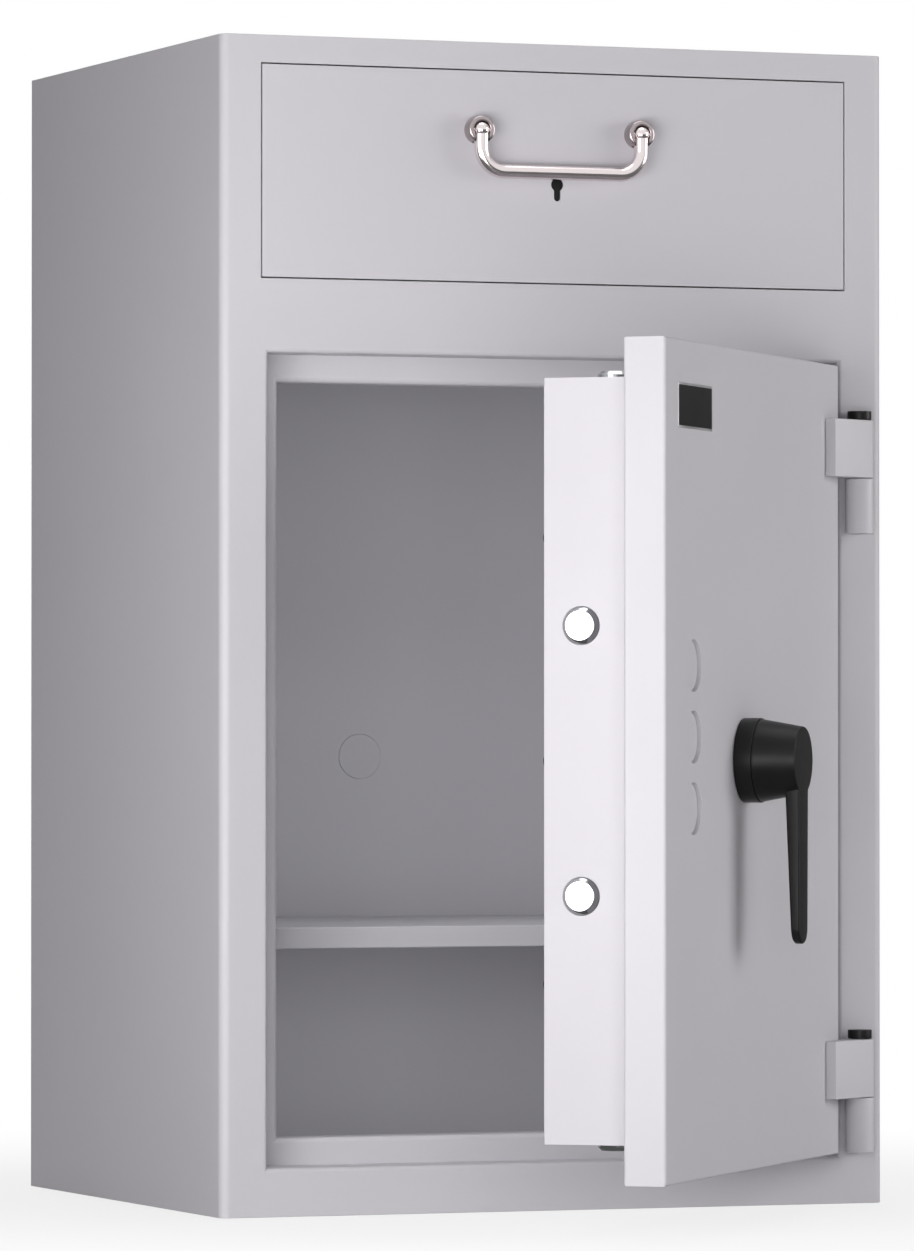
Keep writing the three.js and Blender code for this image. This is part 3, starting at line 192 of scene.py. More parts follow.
# %% Rounded corners on a profile
def filleted(corners, radii, closed=False, steps=6):
    """Replaces each corner by an arc that is tangent to both its sides. The arc starts at a
    distance radius / tan(half the corner's angle) from the corner."""
    corners = np.asarray(corners, float)
    count = len(corners)
    parts = []
    for i, (corner, radius) in enumerate(zip(corners, radii)):
        if radius == 0 or (not closed and i in (0, count - 1)):
            parts.append(corner[None])
            continue
        back = corners[i - 1] - corner
        ahead = corners[(i + 1) % count] - corner
        back /= np.linalg.norm(back)
        ahead /= np.linalg.norm(ahead)
        half = math.acos(np.clip(back @ ahead, -1, 1)) / 2
        middle = (back + ahead) / np.linalg.norm(back + ahead)
        centre = corner + middle * radius / math.sin(half)
        start = corner + back * radius / math.tan(half) - centre
        end = corner + ahead * radius / math.tan(half) - centre
        share = np.linspace(0, 1, steps + 1)[:, None]
        sweep = math.pi - 2 * half
        bow = (np.sin((1 - share) * sweep) * start + np.sin(share * sweep) * end) / math.sin(sweep)
        parts.append(centre + bow)
    return np.concatenate(parts)


# %% [markdown]
# ## From arrays to pieces
#
# A piece keeps its place in its mesh and its object at the origin, as the imported nodes do. It rides
# on the body that carries it, and hides the imported node it stands for. Faces are turned outwards
# once here. Edges sharper than a set angle stay crisp, and all others are shaded round.

# %% Make a piece
def add_piece(name, shape, body, material, stands_for=(), sharp=34, carry=None):
    """Puts points (mm) and faces into a mesh, turns faces outwards and shades it."""
    points, faces = shape
    points = carry(points) if carry else np.asarray(points)
    mesh = bpy.data.meshes.new(name)
    mesh.from_pydata((points * MM).tolist(), [], faces)
    work = bmesh.new()
    work.from_mesh(mesh)
    bmesh.ops.recalc_face_normals(work, faces=work.faces)
    work.to_mesh(mesh)
    work.free()
    mesh.shade_smooth()
    mesh.set_sharp_from_angle(angle=math.radians(sharp))
    mesh.materials.append(material)
    piece = bpy.data.objects.new(name, mesh)
    bpy.context.scene.collection.objects.link(piece)
    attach(piece, body)
    if stands_for:
        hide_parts(*stands_for)
    return piece


def joined(*shapes):
    """Several closed skins as one mesh: each skin's point numbers are shifted past the last."""
    points, faces, start = [], [], 0
    for shape_points, shape_faces in shapes:
        points.append(shape_points)
        faces += [[start + n for n in face] for face in shape_faces]
        start += len(shape_points)
    return np.concatenate(points), faces


# %% [markdown]
# ## Effects that several finishes share
#
# Powder coat, moulded plastic and plated steel are told apart by very fine relief and by slow
# changes of tone. Each of these is a small node group with its own inputs, and a material places
# it with its own values. Coordinates are the object's own, in metres, so a pattern has a real size
# and stays on its piece when the door swings.

# %% Node group helper
def new_group(name, inputs, outputs):
    """An empty shader node group with named float inputs and outputs of a given kind."""
    group = bpy.data.node_groups.new(name, "ShaderNodeTree")
    for title, value in inputs:
        socket = group.interface.new_socket(title, in_out="INPUT", socket_type="NodeSocketFloat")
        socket.default_value = value
    for title, kind in outputs:
        group.interface.new_socket(title, in_out="OUTPUT", socket_type=kind)
    return group, group.nodes.new("NodeGroupInput"), group.nodes.new("NodeGroupOutput")


def noise_node(tree, detail=3.0, roughness=0.5):
    node = tree.nodes.new("ShaderNodeTexNoise")
    node.inputs["Detail"].default_value = detail
    node.inputs["Roughness"].default_value = roughness
    return node


# %% Orange peel: the fine waviness of sprayed and melted powder
peel, given, made = new_group(
    "orange_peel",
    [("Grain", 700.0), ("Waviness", 150.0)],
    [("Height", "NodeSocketFloat")],
)
place = peel.nodes.new("ShaderNodeTexCoord")
fine, slow = noise_node(peel, 2.0), noise_node(peel, 1.0)
blend = peel.nodes.new("ShaderNodeMix")
blend.inputs["Factor"].default_value = 0.55
for node, socket in ((fine, "Grain"), (slow, "Waviness")):
    peel.links.new(place.outputs["Object"], node.inputs["Vector"])
    peel.links.new(given.outputs[socket], node.inputs["Scale"])
peel.links.new(fine.outputs["Fac"], blend.inputs["A"])
peel.links.new(slow.outputs["Fac"], blend.inputs["B"])
peel.links.new(blend.outputs["Result"], made.inputs["Height"])

# %% Slow tone: a soft change between two values over a stated size
tone, given, made = new_group(
    "slow_tone",
    [("Scale", 3.0), ("Low", 0.95), ("High", 1.05)],
    [("Value", "NodeSocketFloat")],
)
place = tone.nodes.new("ShaderNodeTexCoord")
cloud = noise_node(tone, 2.0)
spread = tone.nodes.new("ShaderNodeMapRange")
spread.inputs["From Min"].default_value = 0.3
spread.inputs["From Max"].default_value = 0.7
tone.links.new(place.outputs["Object"], cloud.inputs["Vector"])
tone.links.new(given.outputs["Scale"], cloud.inputs["Scale"])
tone.links.new(cloud.outputs["Fac"], spread.inputs["Value"])
tone.links.new(given.outputs["Low"], spread.inputs["To Min"])
tone.links.new(given.outputs["High"], spread.inputs["To Max"])
tone.links.new(spread.outputs["Result"], made.inputs["Value"])

# %% Spangle: flat grains of zinc, each with its own tone
spangle, given, made = new_group(
    "zinc_spangle",
    [("Scale", 160.0)],
    [("Grain", "NodeSocketFloat"), ("Height", "NodeSocketFloat")],
)
place = spangle.nodes.new("ShaderNodeTexCoord")
cells = spangle.nodes.new("ShaderNodeTexVoronoi")
shade = spangle.nodes.new("ShaderNodeSeparateColor")
scratch = noise_node(spangle, 4.0, 0.7)
scratch.inputs["Scale"].default_value = 900.0
spangle.links.new(place.outputs["Object"], cells.inputs["Vector"])
spangle.links.new(place.outputs["Object"], scratch.inputs["Vector"])
spangle.links.new(given.outputs["Scale"], cells.inputs["Scale"])
spangle.links.new(cells.outputs["Color"], shade.inputs["Color"])
spangle.links.new(shade.outputs["Red"], made.inputs["Grain"])
spangle.links.new(scratch.outputs["Fac"], made.inputs["Height"])


# %% [markdown]
# ## The finishes
#
# The powder coat is a dielectric: its colour comes from below a satin skin, so it takes a plain
# base colour, middling roughness and a trace of relief. Chrome and polished steel are metals,
# where nearly all the look is reflection, so they differ in tint and roughness. Zinc carries a grey
# oxide skin, so it is only partly metal. The black mouldings have a soft sheen and the fine grain
# that spark erosion leaves in the mould.

# %% Material helpers
def new_finish(name, colour, roughness, metallic=0.0):
    """A material whose plain values are set on the shader's own sockets."""
    material = bpy.data.materials.new(name)
    material.use_nodes = True
    shader = material.node_tree.nodes["Principled BSDF"]
    shader.inputs["Base Color"].default_value = (*colour, 1)
    shader.inputs["Roughness"].default_value = roughness
    shader.inputs["Metallic"].default_value = metallic
    return material, material.node_tree, shader


def placed(tree, group, **values):
    node = tree.nodes.new("ShaderNodeGroup")
    node.node_tree = group
    for title, value in values.items():
        node.inputs[title].default_value = value
    return node


def relief(tree, shader, height, depth, strength=1.0):
    """A bump of a real depth in metres, from a height socket to the shader's normal."""
    bump = tree.nodes.new("ShaderNodeBump")
    bump.inputs["Distance"].default_value = depth
    bump.inputs["Strength"].default_value = strength
    tree.links.new(height, bump.inputs["Height"])
    tree.links.new(bump.outputs["Normal"], shader.inputs["Normal"])


def vary_colour(tree, shader, colour, value):
    """Multiplies the base colour by a value that changes slowly over the surface."""
    scale = tree.nodes.new("ShaderNodeVectorMath")
    scale.operation = "SCALE"
    scale.inputs[0].default_value = colour
    tree.links.new(value, scale.inputs["Scale"])
    tree.links.new(scale.outputs["Vector"], shader.inputs["Base Color"])


def powder_coat(name, colour, roughness):
    """Sprayed powder: a slow tone in colour and gloss, and orange peel in the relief."""
    material, tree, shader = new_finish(name, colour, roughness)
    shade_value = placed(tree, tone, Scale=2.2, Low=0.985, High=1.015)
    vary_colour(tree, shader, colour, shade_value.outputs["Value"])
    gloss = placed(tree, tone, Scale=9.0, Low=roughness - 0.03, High=roughness + 0.03)
    tree.links.new(gloss.outputs["Value"], shader.inputs["Roughness"])
    skin = placed(tree, peel, Grain=620.0, Waviness=170.0)
    relief(tree, shader, skin.outputs["Height"], 0.00005, 0.6)
    return material


def polished_metal(name, colour, roughness):
    """Bright metal: faint smears in the roughness, so that reflections aren't all equally sharp."""
    material, tree, shader = new_finish(name, colour, roughness, 1.0)
    smear = placed(tree, tone, Scale=60.0, Low=roughness * 0.8, High=roughness * 1.3)
    tree.links.new(smear.outputs["Value"], shader.inputs["Roughness"])
    return material


def moulding(name, colour, roughness, shine=0.22):
    """Moulded plastic: a plain specular level, uneven gloss and a spark-eroded grain."""
    material, tree, shader = new_finish(name, colour, roughness)
    shader.inputs["Specular IOR Level"].default_value = shine
    gloss = placed(tree, tone, Scale=40.0, Low=roughness - 0.04, High=roughness + 0.04)
    tree.links.new(gloss.outputs["Value"], shader.inputs["Roughness"])
    grain = placed(tree, peel, Grain=2600.0, Waviness=900.0)
    relief(tree, shader, grain.outputs["Height"], 0.00003, 0.5)
    return material


METAL_SHARE = 0.45


def plated(name, colour, roughness):
    """Zinc with its grey oxide skin: grains that differ in tone and gloss."""
    material, tree, shader = new_finish(name, colour, roughness, METAL_SHARE)
    grains = placed(tree, spangle, Scale=170.0)
    lift = tree.nodes.new("ShaderNodeMapRange")
    lift.inputs["To Min"].default_value = roughness - 0.07
    lift.inputs["To Max"].default_value = roughness + 0.1
    tree.links.new(grains.outputs["Grain"], lift.inputs["Value"])
    tree.links.new(lift.outputs["Result"], shader.inputs["Roughness"])
    vary = tree.nodes.new("ShaderNodeMapRange")
    vary.inputs["To Min"].default_value = 0.88
    vary.inputs["To Max"].default_value = 1.08
    tree.links.new(grains.outputs["Grain"], vary.inputs["Value"])
    vary_colour(tree, shader, colour, vary.outputs["Result"])
    relief(tree, shader, grains.outputs["Height"], 0.00002, 0.5)
    return material


# %% Finishes
safe_paint = powder_coat("safe_paint", (0.545, 0.532, 0.566), 0.5)
# The compartment's coat is the outer coat made a little darker and rougher: painted shade for the dim
# compartment.
shaded_compartment_paint = powder_coat("shaded_compartment_paint", (0.515, 0.509, 0.535), 0.56)
bolt_chrome = polished_metal("bolt_chrome", (0.42, 0.425, 0.435), 0.05)
handle_steel = polished_metal("handle_steel", (0.8, 0.725, 0.73), 0.15)
# The cups' steel is the handle steel at about half brightness: painted shade, standing in for the
# dark reflection of the shaded drawer front.
shaded_cup_steel = polished_metal("shaded_cup_steel", (0.4, 0.352, 0.358), 0.17)
black_moulding = moulding("black_moulding", (0.01, 0.01, 0.0104), 0.36, 0.17)
# Near black for the lock's face behind the keyhole, as painted shade deep in the hole.
keyhole_shade_black = moulding("keyhole_shade_black", (0.006, 0.006, 0.006), 0.6)
plate_black = moulding("plate_black", (0.018, 0.018, 0.019), 0.5, 0.08)
plate_rim = polished_metal("plate_rim", (0.62, 0.62, 0.63), 0.35)
zinc_steel = plated("zinc_steel", (0.46, 0.468, 0.475), 0.52)

slot_finish = {
    "grey_paint": safe_paint,
    "inner_paint": shaded_compartment_paint,
    "chrome": bolt_chrome,
    "polished_steel": handle_steel,
    "black_plastic": black_moulding,
    "zinc_steel": zinc_steel,
}
slot_of_node = {entry["node"]: entry["material_slot"] for entry in frame["record"]["subparts"]}
for node, thing in frame["nodes"].items():
    thing.data.materials.clear()
    thing.data.materials.append(slot_finish[slot_of_node[node]])
print("finishes", len(bpy.data.materials))


# %% [markdown]
# ## Folded and welded plates
#
# The casing, the frames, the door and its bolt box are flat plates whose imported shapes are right.
# What they lack is the small radius that folding, grinding and the coat itself leave on each edge,
# and it is this radius that catches a line of light. A copy of each plate is welded at its corners,
# its flat triangles are merged, and a Bevel modifier rounds what is left. Each edge has a weight,
# so that the rim of a small hole stays crisper than a long edge. A Weighted Normal modifier then
# lets the large flat faces decide the shading, so they stay flat right up to the rounding.
# The casing, front frame and lip are one welded and ground body, so their copies are united first.

# %% Copies of packed plates
def packed_copy(name, node):
    """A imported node's mesh, welded at its corners, as a new object."""
    work = bmesh.new()
    work.from_mesh(frame["nodes"][node].data)
    bmesh.ops.remove_doubles(work, verts=work.verts, dist=WELD_DISTANCE)
    mesh = bpy.data.meshes.new(name)
    work.to_mesh(mesh)
    work.free()
    mesh.materials.clear()
    mesh.materials.append(slot_finish[slot_of_node[node]])
    piece = bpy.data.objects.new(name, mesh)
    bpy.context.scene.collection.objects.link(piece)
    return piece


def baked(piece, drop):
    """Applies a piece's modifiers to its mesh and removes the helper objects."""
    bpy.context.view_layer.update()
    graph = bpy.context.evaluated_depsgraph_get()
    piece.data = bpy.data.meshes.new_from_object(piece.evaluated_get(graph))
    piece.modifiers.clear()
    for helper in drop:
        bpy.data.objects.remove(helper)


def combine(piece, helper, operation):
    step = piece.modifiers.new(operation.lower(), "BOOLEAN")
    step.object = helper
    step.operation = operation
    step.solver = "EXACT"


# %% Plates with eased edges
FLAT_ENOUGH = math.radians(0.3)
FINE_SHARE = 0.25


def eased_copy(name, nodes, edge, segments=3, angle=32, fine=0.0):
    """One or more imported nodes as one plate, with its edges rounded by a radius in mm. Edges
    shorter than the fine length, such as those round a hole, get a share of that radius."""
    piece = packed_copy(name, nodes[0])
    others = [packed_copy(name + "_part", node) for node in nodes[1:]]
    for other in others:
        combine(piece, other, "UNION")
    if others:
        baked(piece, others)
    work = bmesh.new()
    work.from_mesh(piece.data)
    bmesh.ops.remove_doubles(work, verts=work.verts, dist=WELD_DISTANCE)
    bmesh.ops.dissolve_limit(work, angle_limit=FLAT_ENOUGH, verts=work.verts, edges=work.edges)
    weight = work.edges.layers.float.new("bevel_weight_edge")
    for line in work.edges:
        share = FINE_SHARE if line.calc_length() < fine * MM else 1.0
        line[weight] = share if line.calc_face_angle(0) > math.radians(angle) else 0.0
    work.to_mesh(piece.data)
    work.free()
    piece.data.shade_smooth()
    rounding = piece.modifiers.new("eased_edges", "BEVEL")
    rounding.width = edge * MM
    rounding.segments = segments
    rounding.limit_method = "WEIGHT"
    flatten = piece.modifiers.new("flat_faces_lead", "WEIGHTED_NORMAL")
    flatten.mode = "FACE_AREA"
    flatten.weight = 100
    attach(piece, body_of_node[nodes[0]])
    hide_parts(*nodes)
    return piece


eased_copy("welded_body", ["outer_casing", "front_frame", "door_lip_frame"], 0.9)
plates = {
    "rear_wall": (0.4, 0), "divider_panel": (0.5, 0), "shelf": (1.2, 0), "door_plate": (1.6, 8.0),
    "bolt_box": (1.2, 0), "bolt_box_cover": (0.6, 0), "drawer_front": (0.5, 8.0),
    "drawer_tray": (0.5, 0),
}
for node, (edge, fine) in plates.items():
    eased_copy(node + "_eased", [node], edge, fine=fine)
print("eased plates", 1 + len(plates))

# %% [markdown]
# ## Bolts
#
# Each bolt is a 30 mm round bar, turned, chamfered at its end and chromed. The profile runs along
# the bar's axis as radius against height, with a small radius at each turn of the chamfer, and one
# sweep round the axis makes the skin. The two end bolts have a flat milled on their hidden tails,
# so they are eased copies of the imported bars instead.

# %% Latch bolts
BOLT_RADIUS, BOLT_LENGTH, BOLT_CHAMFER = 15.0, 70.0, 3.0
LATCH_TAIL = -157.5
BOLT_DEPTH = -170.0
BOLT_HEIGHTS = {"upper": 486.1, "lower": 270.9}

bolt_corners = [
    [0.5, 0],
    [BOLT_RADIUS, 0],
    [BOLT_RADIUS, BOLT_LENGTH - BOLT_CHAMFER],
    [BOLT_RADIUS - BOLT_CHAMFER, BOLT_LENGTH],
    [0.5, BOLT_LENGTH],
]
bolt_profile = filleted(bolt_corners, [0, 0.6, 0.8, 0.8, 0])
for place_name, height in BOLT_HEIGHTS.items():
    skin = turned(bolt_profile, (LATCH_TAIL, BOLT_DEPTH, height), (-1, 0, 0), 96)
    node = f"latch_bolt_{place_name}"
    add_piece(
        node + "_bar", skin, "latch_carriage", bolt_chrome, [node], 20, on_open_door,
    )
for node in ("top_bolt", "bottom_bolt"):
    eased_copy(node + "_bar", [node], 0.5, 2, 30)

# %% [markdown]
# ## Lever handle
#
# The lever is one black moulding: a cone-shaped hub on a fixed round base, and a flat arm that
# hangs from the hub's front and thins towards a rounded tip. The hub is turned about the spindle.
# The arm is a stack of rings down its length: each ring is a rounded rectangle, whose width and
# thickness are functions of the distance down the arm, so that the tip can close like a real one.

# %% Hub and base
HUB_FRONT, HUB_FRONT_RADIUS = 50.0, 27.5
hub_corners = [
    [0.5, 15.1], [33.6, 15.1], [33.4, 16.6], [HUB_FRONT_RADIUS, HUB_FRONT], [0.5, HUB_FRONT],
]
hub = turned(filleted(hub_corners, [0, 0.2, 0.6, 0.9, 0]), HANDLE, FORWARDS, 128)
base_corners = [[6.3, 0.3], [34.5, 0.3], [34.5, 14.9], [6.3, 14.9]]
base_ring = filleted(base_corners, [0.3, 0.4, 0.5, 0.3], closed=True, steps=4)
base = turned(base_ring, HANDLE, FORWARDS, 128, loop=True)
add_piece(
    "handle_base", base, "door", black_moulding, ["handle_rosette"], 30,
    on_open_door,
)


# %% Arm
ARM_LENGTH, ARM_START = 149.0, 12.0
ARM_WIDTH = (30.0, 26.0)
ARM_DEPTH = (11.5, 7.0)
ARM_SET_BACK = 0.15
TIP_EASE = 1.5
TIP_STOP = 0.985
LEAST_HALF_WIDTH = 0.4


def lever_arm(edge=1.6):
    """Rings down the arm. At distance d the half width is w(d), and inside the last half width it
    follows the circle w = sqrt(r^2 - (d - d0)^2). The last ring stops just short of the tip and
    keeps a small width. The front stays flat and the rear rises."""
    root_width, tip_width = ARM_WIDTH
    root_depth, tip_depth = ARM_DEPTH
    tip_radius = tip_width / 2
    start_round = ARM_LENGTH - tip_radius
    straight = np.linspace(ARM_START, start_round, 40)
    angle = np.linspace(0, math.pi / 2 * TIP_STOP, 22)[1:]
    distance = np.concatenate([straight, start_round + tip_radius * np.sin(angle)])
    taper = np.clip((distance - HUB_FRONT_RADIUS) / (ARM_LENGTH - HUB_FRONT_RADIUS), 0, 1)
    depth = root_depth + (tip_depth - root_depth) * taper
    half = np.interp(distance, [0, start_round], [root_width / 2, tip_radius])
    past = np.clip(distance - start_round, 0, None)
    circle = np.sqrt(np.clip(tip_radius**2 - past**2, LEAST_HALF_WIDTH**2, None))
    half = np.where(past > 0, circle, half)
    end_ease = np.clip(past / tip_radius, 0, 1) ** 8
    depth = depth - end_ease * TIP_EASE
    corner = np.minimum(edge, np.minimum(half, depth / 2) * 0.8)
    turn = np.linspace(0, math.pi / 2, 7)
    quarter = np.concatenate([turn + k * math.pi / 2 for k in range(4)])
    sign_x = np.repeat([1, -1, -1, 1], 7)
    sign_y = np.repeat([1, 1, -1, -1], 7)
    x = sign_x * (half - corner)[:, None] + corner[:, None] * np.cos(quarter)
    y = sign_y * (depth / 2 - corner)[:, None] + corner[:, None] * np.sin(quarter)
    front_plane = FRONT - HUB_FRONT + ARM_SET_BACK
    front_ease = end_ease * TIP_EASE / 2
    middle = (front_plane + front_ease + depth / 2)[:, None]
    level = np.broadcast_to((HANDLE[2] - distance)[:, None], x.shape)
    return ringed(np.stack([HANDLE[0] + x, middle + y, level], -1))


lever = joined(hub, lever_arm())
lever_piece = add_piece(
    "lever_moulding", lever, "handle", black_moulding, ["handle_lever"], 34,
    on_open_door,
)
print("lever faces", len(lever_piece.data.polygons))

# %% [markdown]
# ## Hinges
#
# A weld-on hinge has a barrel on the door, a barrel on the body and a pin through both, with a
# black cap on top. Seen along the pin, the door's part is a wedge that rises from a thin end until
# it runs tangent to the barrel, and the body's part is a barrel on a short foot. Both are flat
# outlines carried up the pin, with rims rounded over as a file and the coat leave them.

# %% Hinge outlines
BARREL = 12.0


def arc(start, end, count, radius=BARREL):
    """Points on a circle, by default the barrel's, from one angle to another."""
    angle = np.linspace(start, end, count)
    return np.stack([radius * np.cos(angle), radius * np.sin(angle)], -1)


leaf_tip = np.array([-58.8, 4.8])
tangent = math.atan2(leaf_tip[1], leaf_tip[0]) + math.acos(BARREL / np.linalg.norm(leaf_tip))
leaf_round = arc(tangent, math.pi * 2.5, 72)
leaf_outline = np.concatenate([
    filleted([[-58.8, 13.4], leaf_tip, leaf_round[0]], [0, 0.8, 0], steps=4)[:-1],
    leaf_round,
    [[-16.8, 12.0], [-16.8, 13.4]],
])
foot = 7.0
meets = math.sqrt(BARREL**2 - foot**2)
knuckle_round = arc(math.atan2(meets, -foot), math.atan2(meets, foot) + 2 * math.pi, 72)
knuckle_outline = np.concatenate([[[foot, 13.7], [-foot, 13.7]], knuckle_round])

# %% Hinges on their pins
HINGE_SEAMS = {"upper": 617.5, "lower": 91.0}
LEAF_HEIGHT, KNUCKLE_HEIGHT, HINGE_GAP, HINGE_RIM = 49.5, 47.0, 0.5, 0.9
cap_profile = filleted([[0.5, 0], [10.2, 0], [10.2, 7.4], [0.5, 7.4]], [0, 0.3, 0.4, 0])
for hinge, seam in HINGE_SEAMS.items():
    points, faces = drawn(leaf_outline, seam + HINGE_GAP, seam + LEAF_HEIGHT, HINGE_RIM)
    add_piece(
        f"hinge_wedge_{hinge}", (points + HINGE, faces), "door", safe_paint,
        [f"hinge_leaf_{hinge}"], 40, on_open_door,
    )
    points, faces = drawn(knuckle_outline, seam - KNUCKLE_HEIGHT, seam, HINGE_RIM)
    add_piece(
        f"hinge_barrel_{hinge}", (points + HINGE, faces), "safe_body", safe_paint,
        [f"hinge_knuckle_{hinge}"], 40,
    )
    cap = turned(cap_profile, HINGE + [0, 0, seam + LEAF_HEIGHT + HINGE_GAP], (0, 0, 1), 72)
    add_piece(
        f"hinge_button_{hinge}", cap, "safe_body", black_moulding, [f"hinge_cap_{hinge}"],
        30,
    )

# %% [markdown]
# ## Drawer handle
#
# A bent steel bar hangs in two cups that are screwed to the drawer front. The bar follows a line of
# two short legs, two bends and a straight middle, given as one path with even steps, and a ball at
# each end turns on a cross pin inside its cup. The cup is turned, and a Boolean modifier opens the
# slot that the bar hangs through, because a slot across a turned wall is awkward to draw as a grid.

# %% Bar
def pull_path(half=PULL_HALF, drop=34.5, bend=20.0, count=24):
    """Down one leg, round a quarter circle, across, round a quarter circle and up the other leg."""
    leg = np.linspace(0, drop - bend, 10)[:-1]
    turn = np.linspace(0, math.pi / 2, count)
    across = np.linspace(-(half - bend), half - bend, 30)[1:-1]
    down = np.stack([np.full_like(leg, -half), -leg], -1)
    first = np.stack([-half + bend - bend * np.cos(turn), -(drop - bend) - bend * np.sin(turn)], -1)
    middle = np.stack([across, np.full_like(across, -drop)], -1)
    left = np.concatenate([down, first])
    right = left[::-1] * [-1, 1]
    flat = np.concatenate([left, middle, right])
    return np.stack([flat[:, 0], np.zeros(len(flat)), flat[:, 1]], -1)


PULL_RADIUS, BALL_RADIUS = 6.0, 6.9
bar = bent(pull_path(), PULL_RADIUS, 48)
ball_angle = np.linspace(0.06, math.pi - 0.06, 25)
ball_profile = BALL_RADIUS * np.stack([np.sin(ball_angle), -np.cos(ball_angle)], -1)
balls = [turned(ball_profile, (x, 0, 0), (0, 0, 1), 48) for x in (-PULL_HALF, PULL_HALF)]
pull_points, pull_faces = joined(bar, *balls)
add_piece(
    "pull_bar", (pull_points + PULL_PIVOT, pull_faces), "pull", handle_steel, ["drawer_handle"],
    40,
)

# %% Cups
CUP_RADIUS, CUP_BORE, CUP_DEPTH, CUP_FLOOR = 11.75, 7.4, 12.5, 2.0
SLOT_HALF, SLOT_LENGTH, SLOT_CUT = 6.3, 30.0, 20.0
cup_corners = [
    [0.4, 0], [CUP_RADIUS, 0], [CUP_RADIUS, CUP_DEPTH], [CUP_BORE, CUP_DEPTH],
    [CUP_BORE, CUP_FLOOR], [0.4, CUP_FLOOR],
]
cup_profile = filleted(cup_corners, [0, 0.3, 2.0, 0.8, 2.5, 0])
slot_outline = [
    [-SLOT_HALF, -SLOT_LENGTH], [SLOT_HALF, -SLOT_LENGTH], [SLOT_HALF, 0], [-SLOT_HALF, 0],
]
for hand, x in (("left", -PULL_HALF), ("right", PULL_HALF)):
    cup = turned(cup_profile, (x, FRONT, PULL_PIVOT[2]), FORWARDS, 96)
    cup_piece = add_piece(
        f"pull_cup_{hand}", cup, "drawer", shaded_cup_steel, [f"handle_cup_{hand}"], 30,
    )
    corners, faces = drawn(slot_outline, 0, SLOT_CUT, 0.01, 1)
    depth = corners[:, 2] + PULL_PIVOT[1] + SLOT_HALF - SLOT_CUT
    corners = np.stack([corners[:, 0] + x, depth, corners[:, 1] + PULL_PIVOT[2]], -1)
    cutter = add_piece("slot_cutter", (corners, faces), "drawer", shaded_cup_steel)
    combine(cup_piece, cutter, "DIFFERENCE")
    baked(cup_piece, [cutter])
    cup_piece.data.set_sharp_from_angle(angle=math.radians(30))

# %% [markdown]
# ## Keyway
#
# Behind the keyhole sits the lock's face, made near black as painted shade in the deep hole. It is
# the keyhole's own outline, a round head over a narrower slot, made slightly smaller, set back from
# the drawer front and carried inwards.

# %% Keyway insert
KEY_HEAD = np.array([0.0, 862.0])
head_radius, stem_radius, stem_drop = 5.5, 2.9, 11.0
neck = math.sqrt(head_radius**2 - stem_radius**2)
neck_angle = math.atan2(-neck, stem_radius)
key_outline = np.concatenate([
    KEY_HEAD + arc(neck_angle, math.pi - neck_angle, 48, head_radius),
    KEY_HEAD + [0, -stem_drop] + arc(math.pi, 2 * math.pi, 24, stem_radius),
])
KEY_SET_BACK, KEY_DEPTH = 1.0, 11.0
key_points, key_faces = drawn(key_outline, 0, KEY_DEPTH, 0.4, 3)
depth = FRONT + KEY_SET_BACK + key_points[:, 2]
key_points = np.stack([key_points[:, 0], depth, key_points[:, 1]], -1)
add_piece(
    "keyhole_shade_insert", (key_points, key_faces), "drawer", keyhole_shade_black,
    sharp=40,
)

# %% [markdown]
# ## Small round pieces
#
# The blanks that fill the three spare lock places, the cap over the anchor hole and the cover's
# button-head screws are all turned. Each gets its own profile and the same sweep as the bolts.

# %% Blanks, anchor cap and screws
BLANK_X, BLANK_SET_BACK = -177.5, 3.0
BLANK_HEIGHTS = (454.5, 397.5, 340.5)
disc_profile = filleted([[0.5, 0], [20.6, 0], [20.6, -5], [0.5, -5]], [0, 0.7, 0.3, 0])
for number, height in enumerate(BLANK_HEIGHTS, start=1):
    disc = turned(disc_profile, (BLANK_X, FRONT + BLANK_SET_BACK, height), FORWARDS, 96)
    add_piece(
        f"lock_disc_{number}", disc, "door", safe_paint, [f"lock_blank_{number}"],
        30, on_open_door,
    )

ANCHOR = (0, 224, 380)
cap_profile = filleted([[0.5, 0], [20, 0], [20, 4.6], [0.5, 4.6]], [0, 0.3, 0.55, 0])
cap = turned(cap_profile, ANCHOR, FORWARDS, 96)
add_piece("anchor_disc", cap, "safe_body", shaded_compartment_paint, ["anchor_cap"], 30)

COVER_BACK = -136.9
SCREW_PLACES = [(x, height) for x in (-209.0, 209.0) for height in (556.5, 378.5, 200.5)]
dome = np.linspace(0, math.pi / 2 * 0.72, 12)
head = np.stack([6 * np.cos(dome), 2.4 * np.sin(dome)], -1)
socket = [[1.75, head[-1, 1]], [1.75, 0.7], [0.4, 0.7]]
shank = [[0.4, -9], [2.3, -9], [2.3, 0]]
screw_profile = np.concatenate([shank, head, socket])
for number, (x, height) in enumerate(SCREW_PLACES, start=1):
    screw = turned(screw_profile, (x, COVER_BACK, height), (0, 1, 0), 48)
    add_piece(
        f"button_screw_{number}", screw, "door", black_moulding, [f"cover_screw_{number}"],
        30, on_open_door,
    )
print("round pieces", len(BLANK_HEIGHTS) + 1 + len(SCREW_PLACES))

# %% [markdown]
# ## Plate on the door
#
# A small black plate with a light rim sits near the door's latch edge. It is left bare. The rim
# is a thin sheet of metal, and the black field is a slightly smaller and thicker sheet inside it,
# so the step between them shows as a real edge.

# %% Door plate
PLATE_X, PLATE_Z = (-222.0, -127.0), (643.0, 679.0)
RIM_WIDTH = 1.8


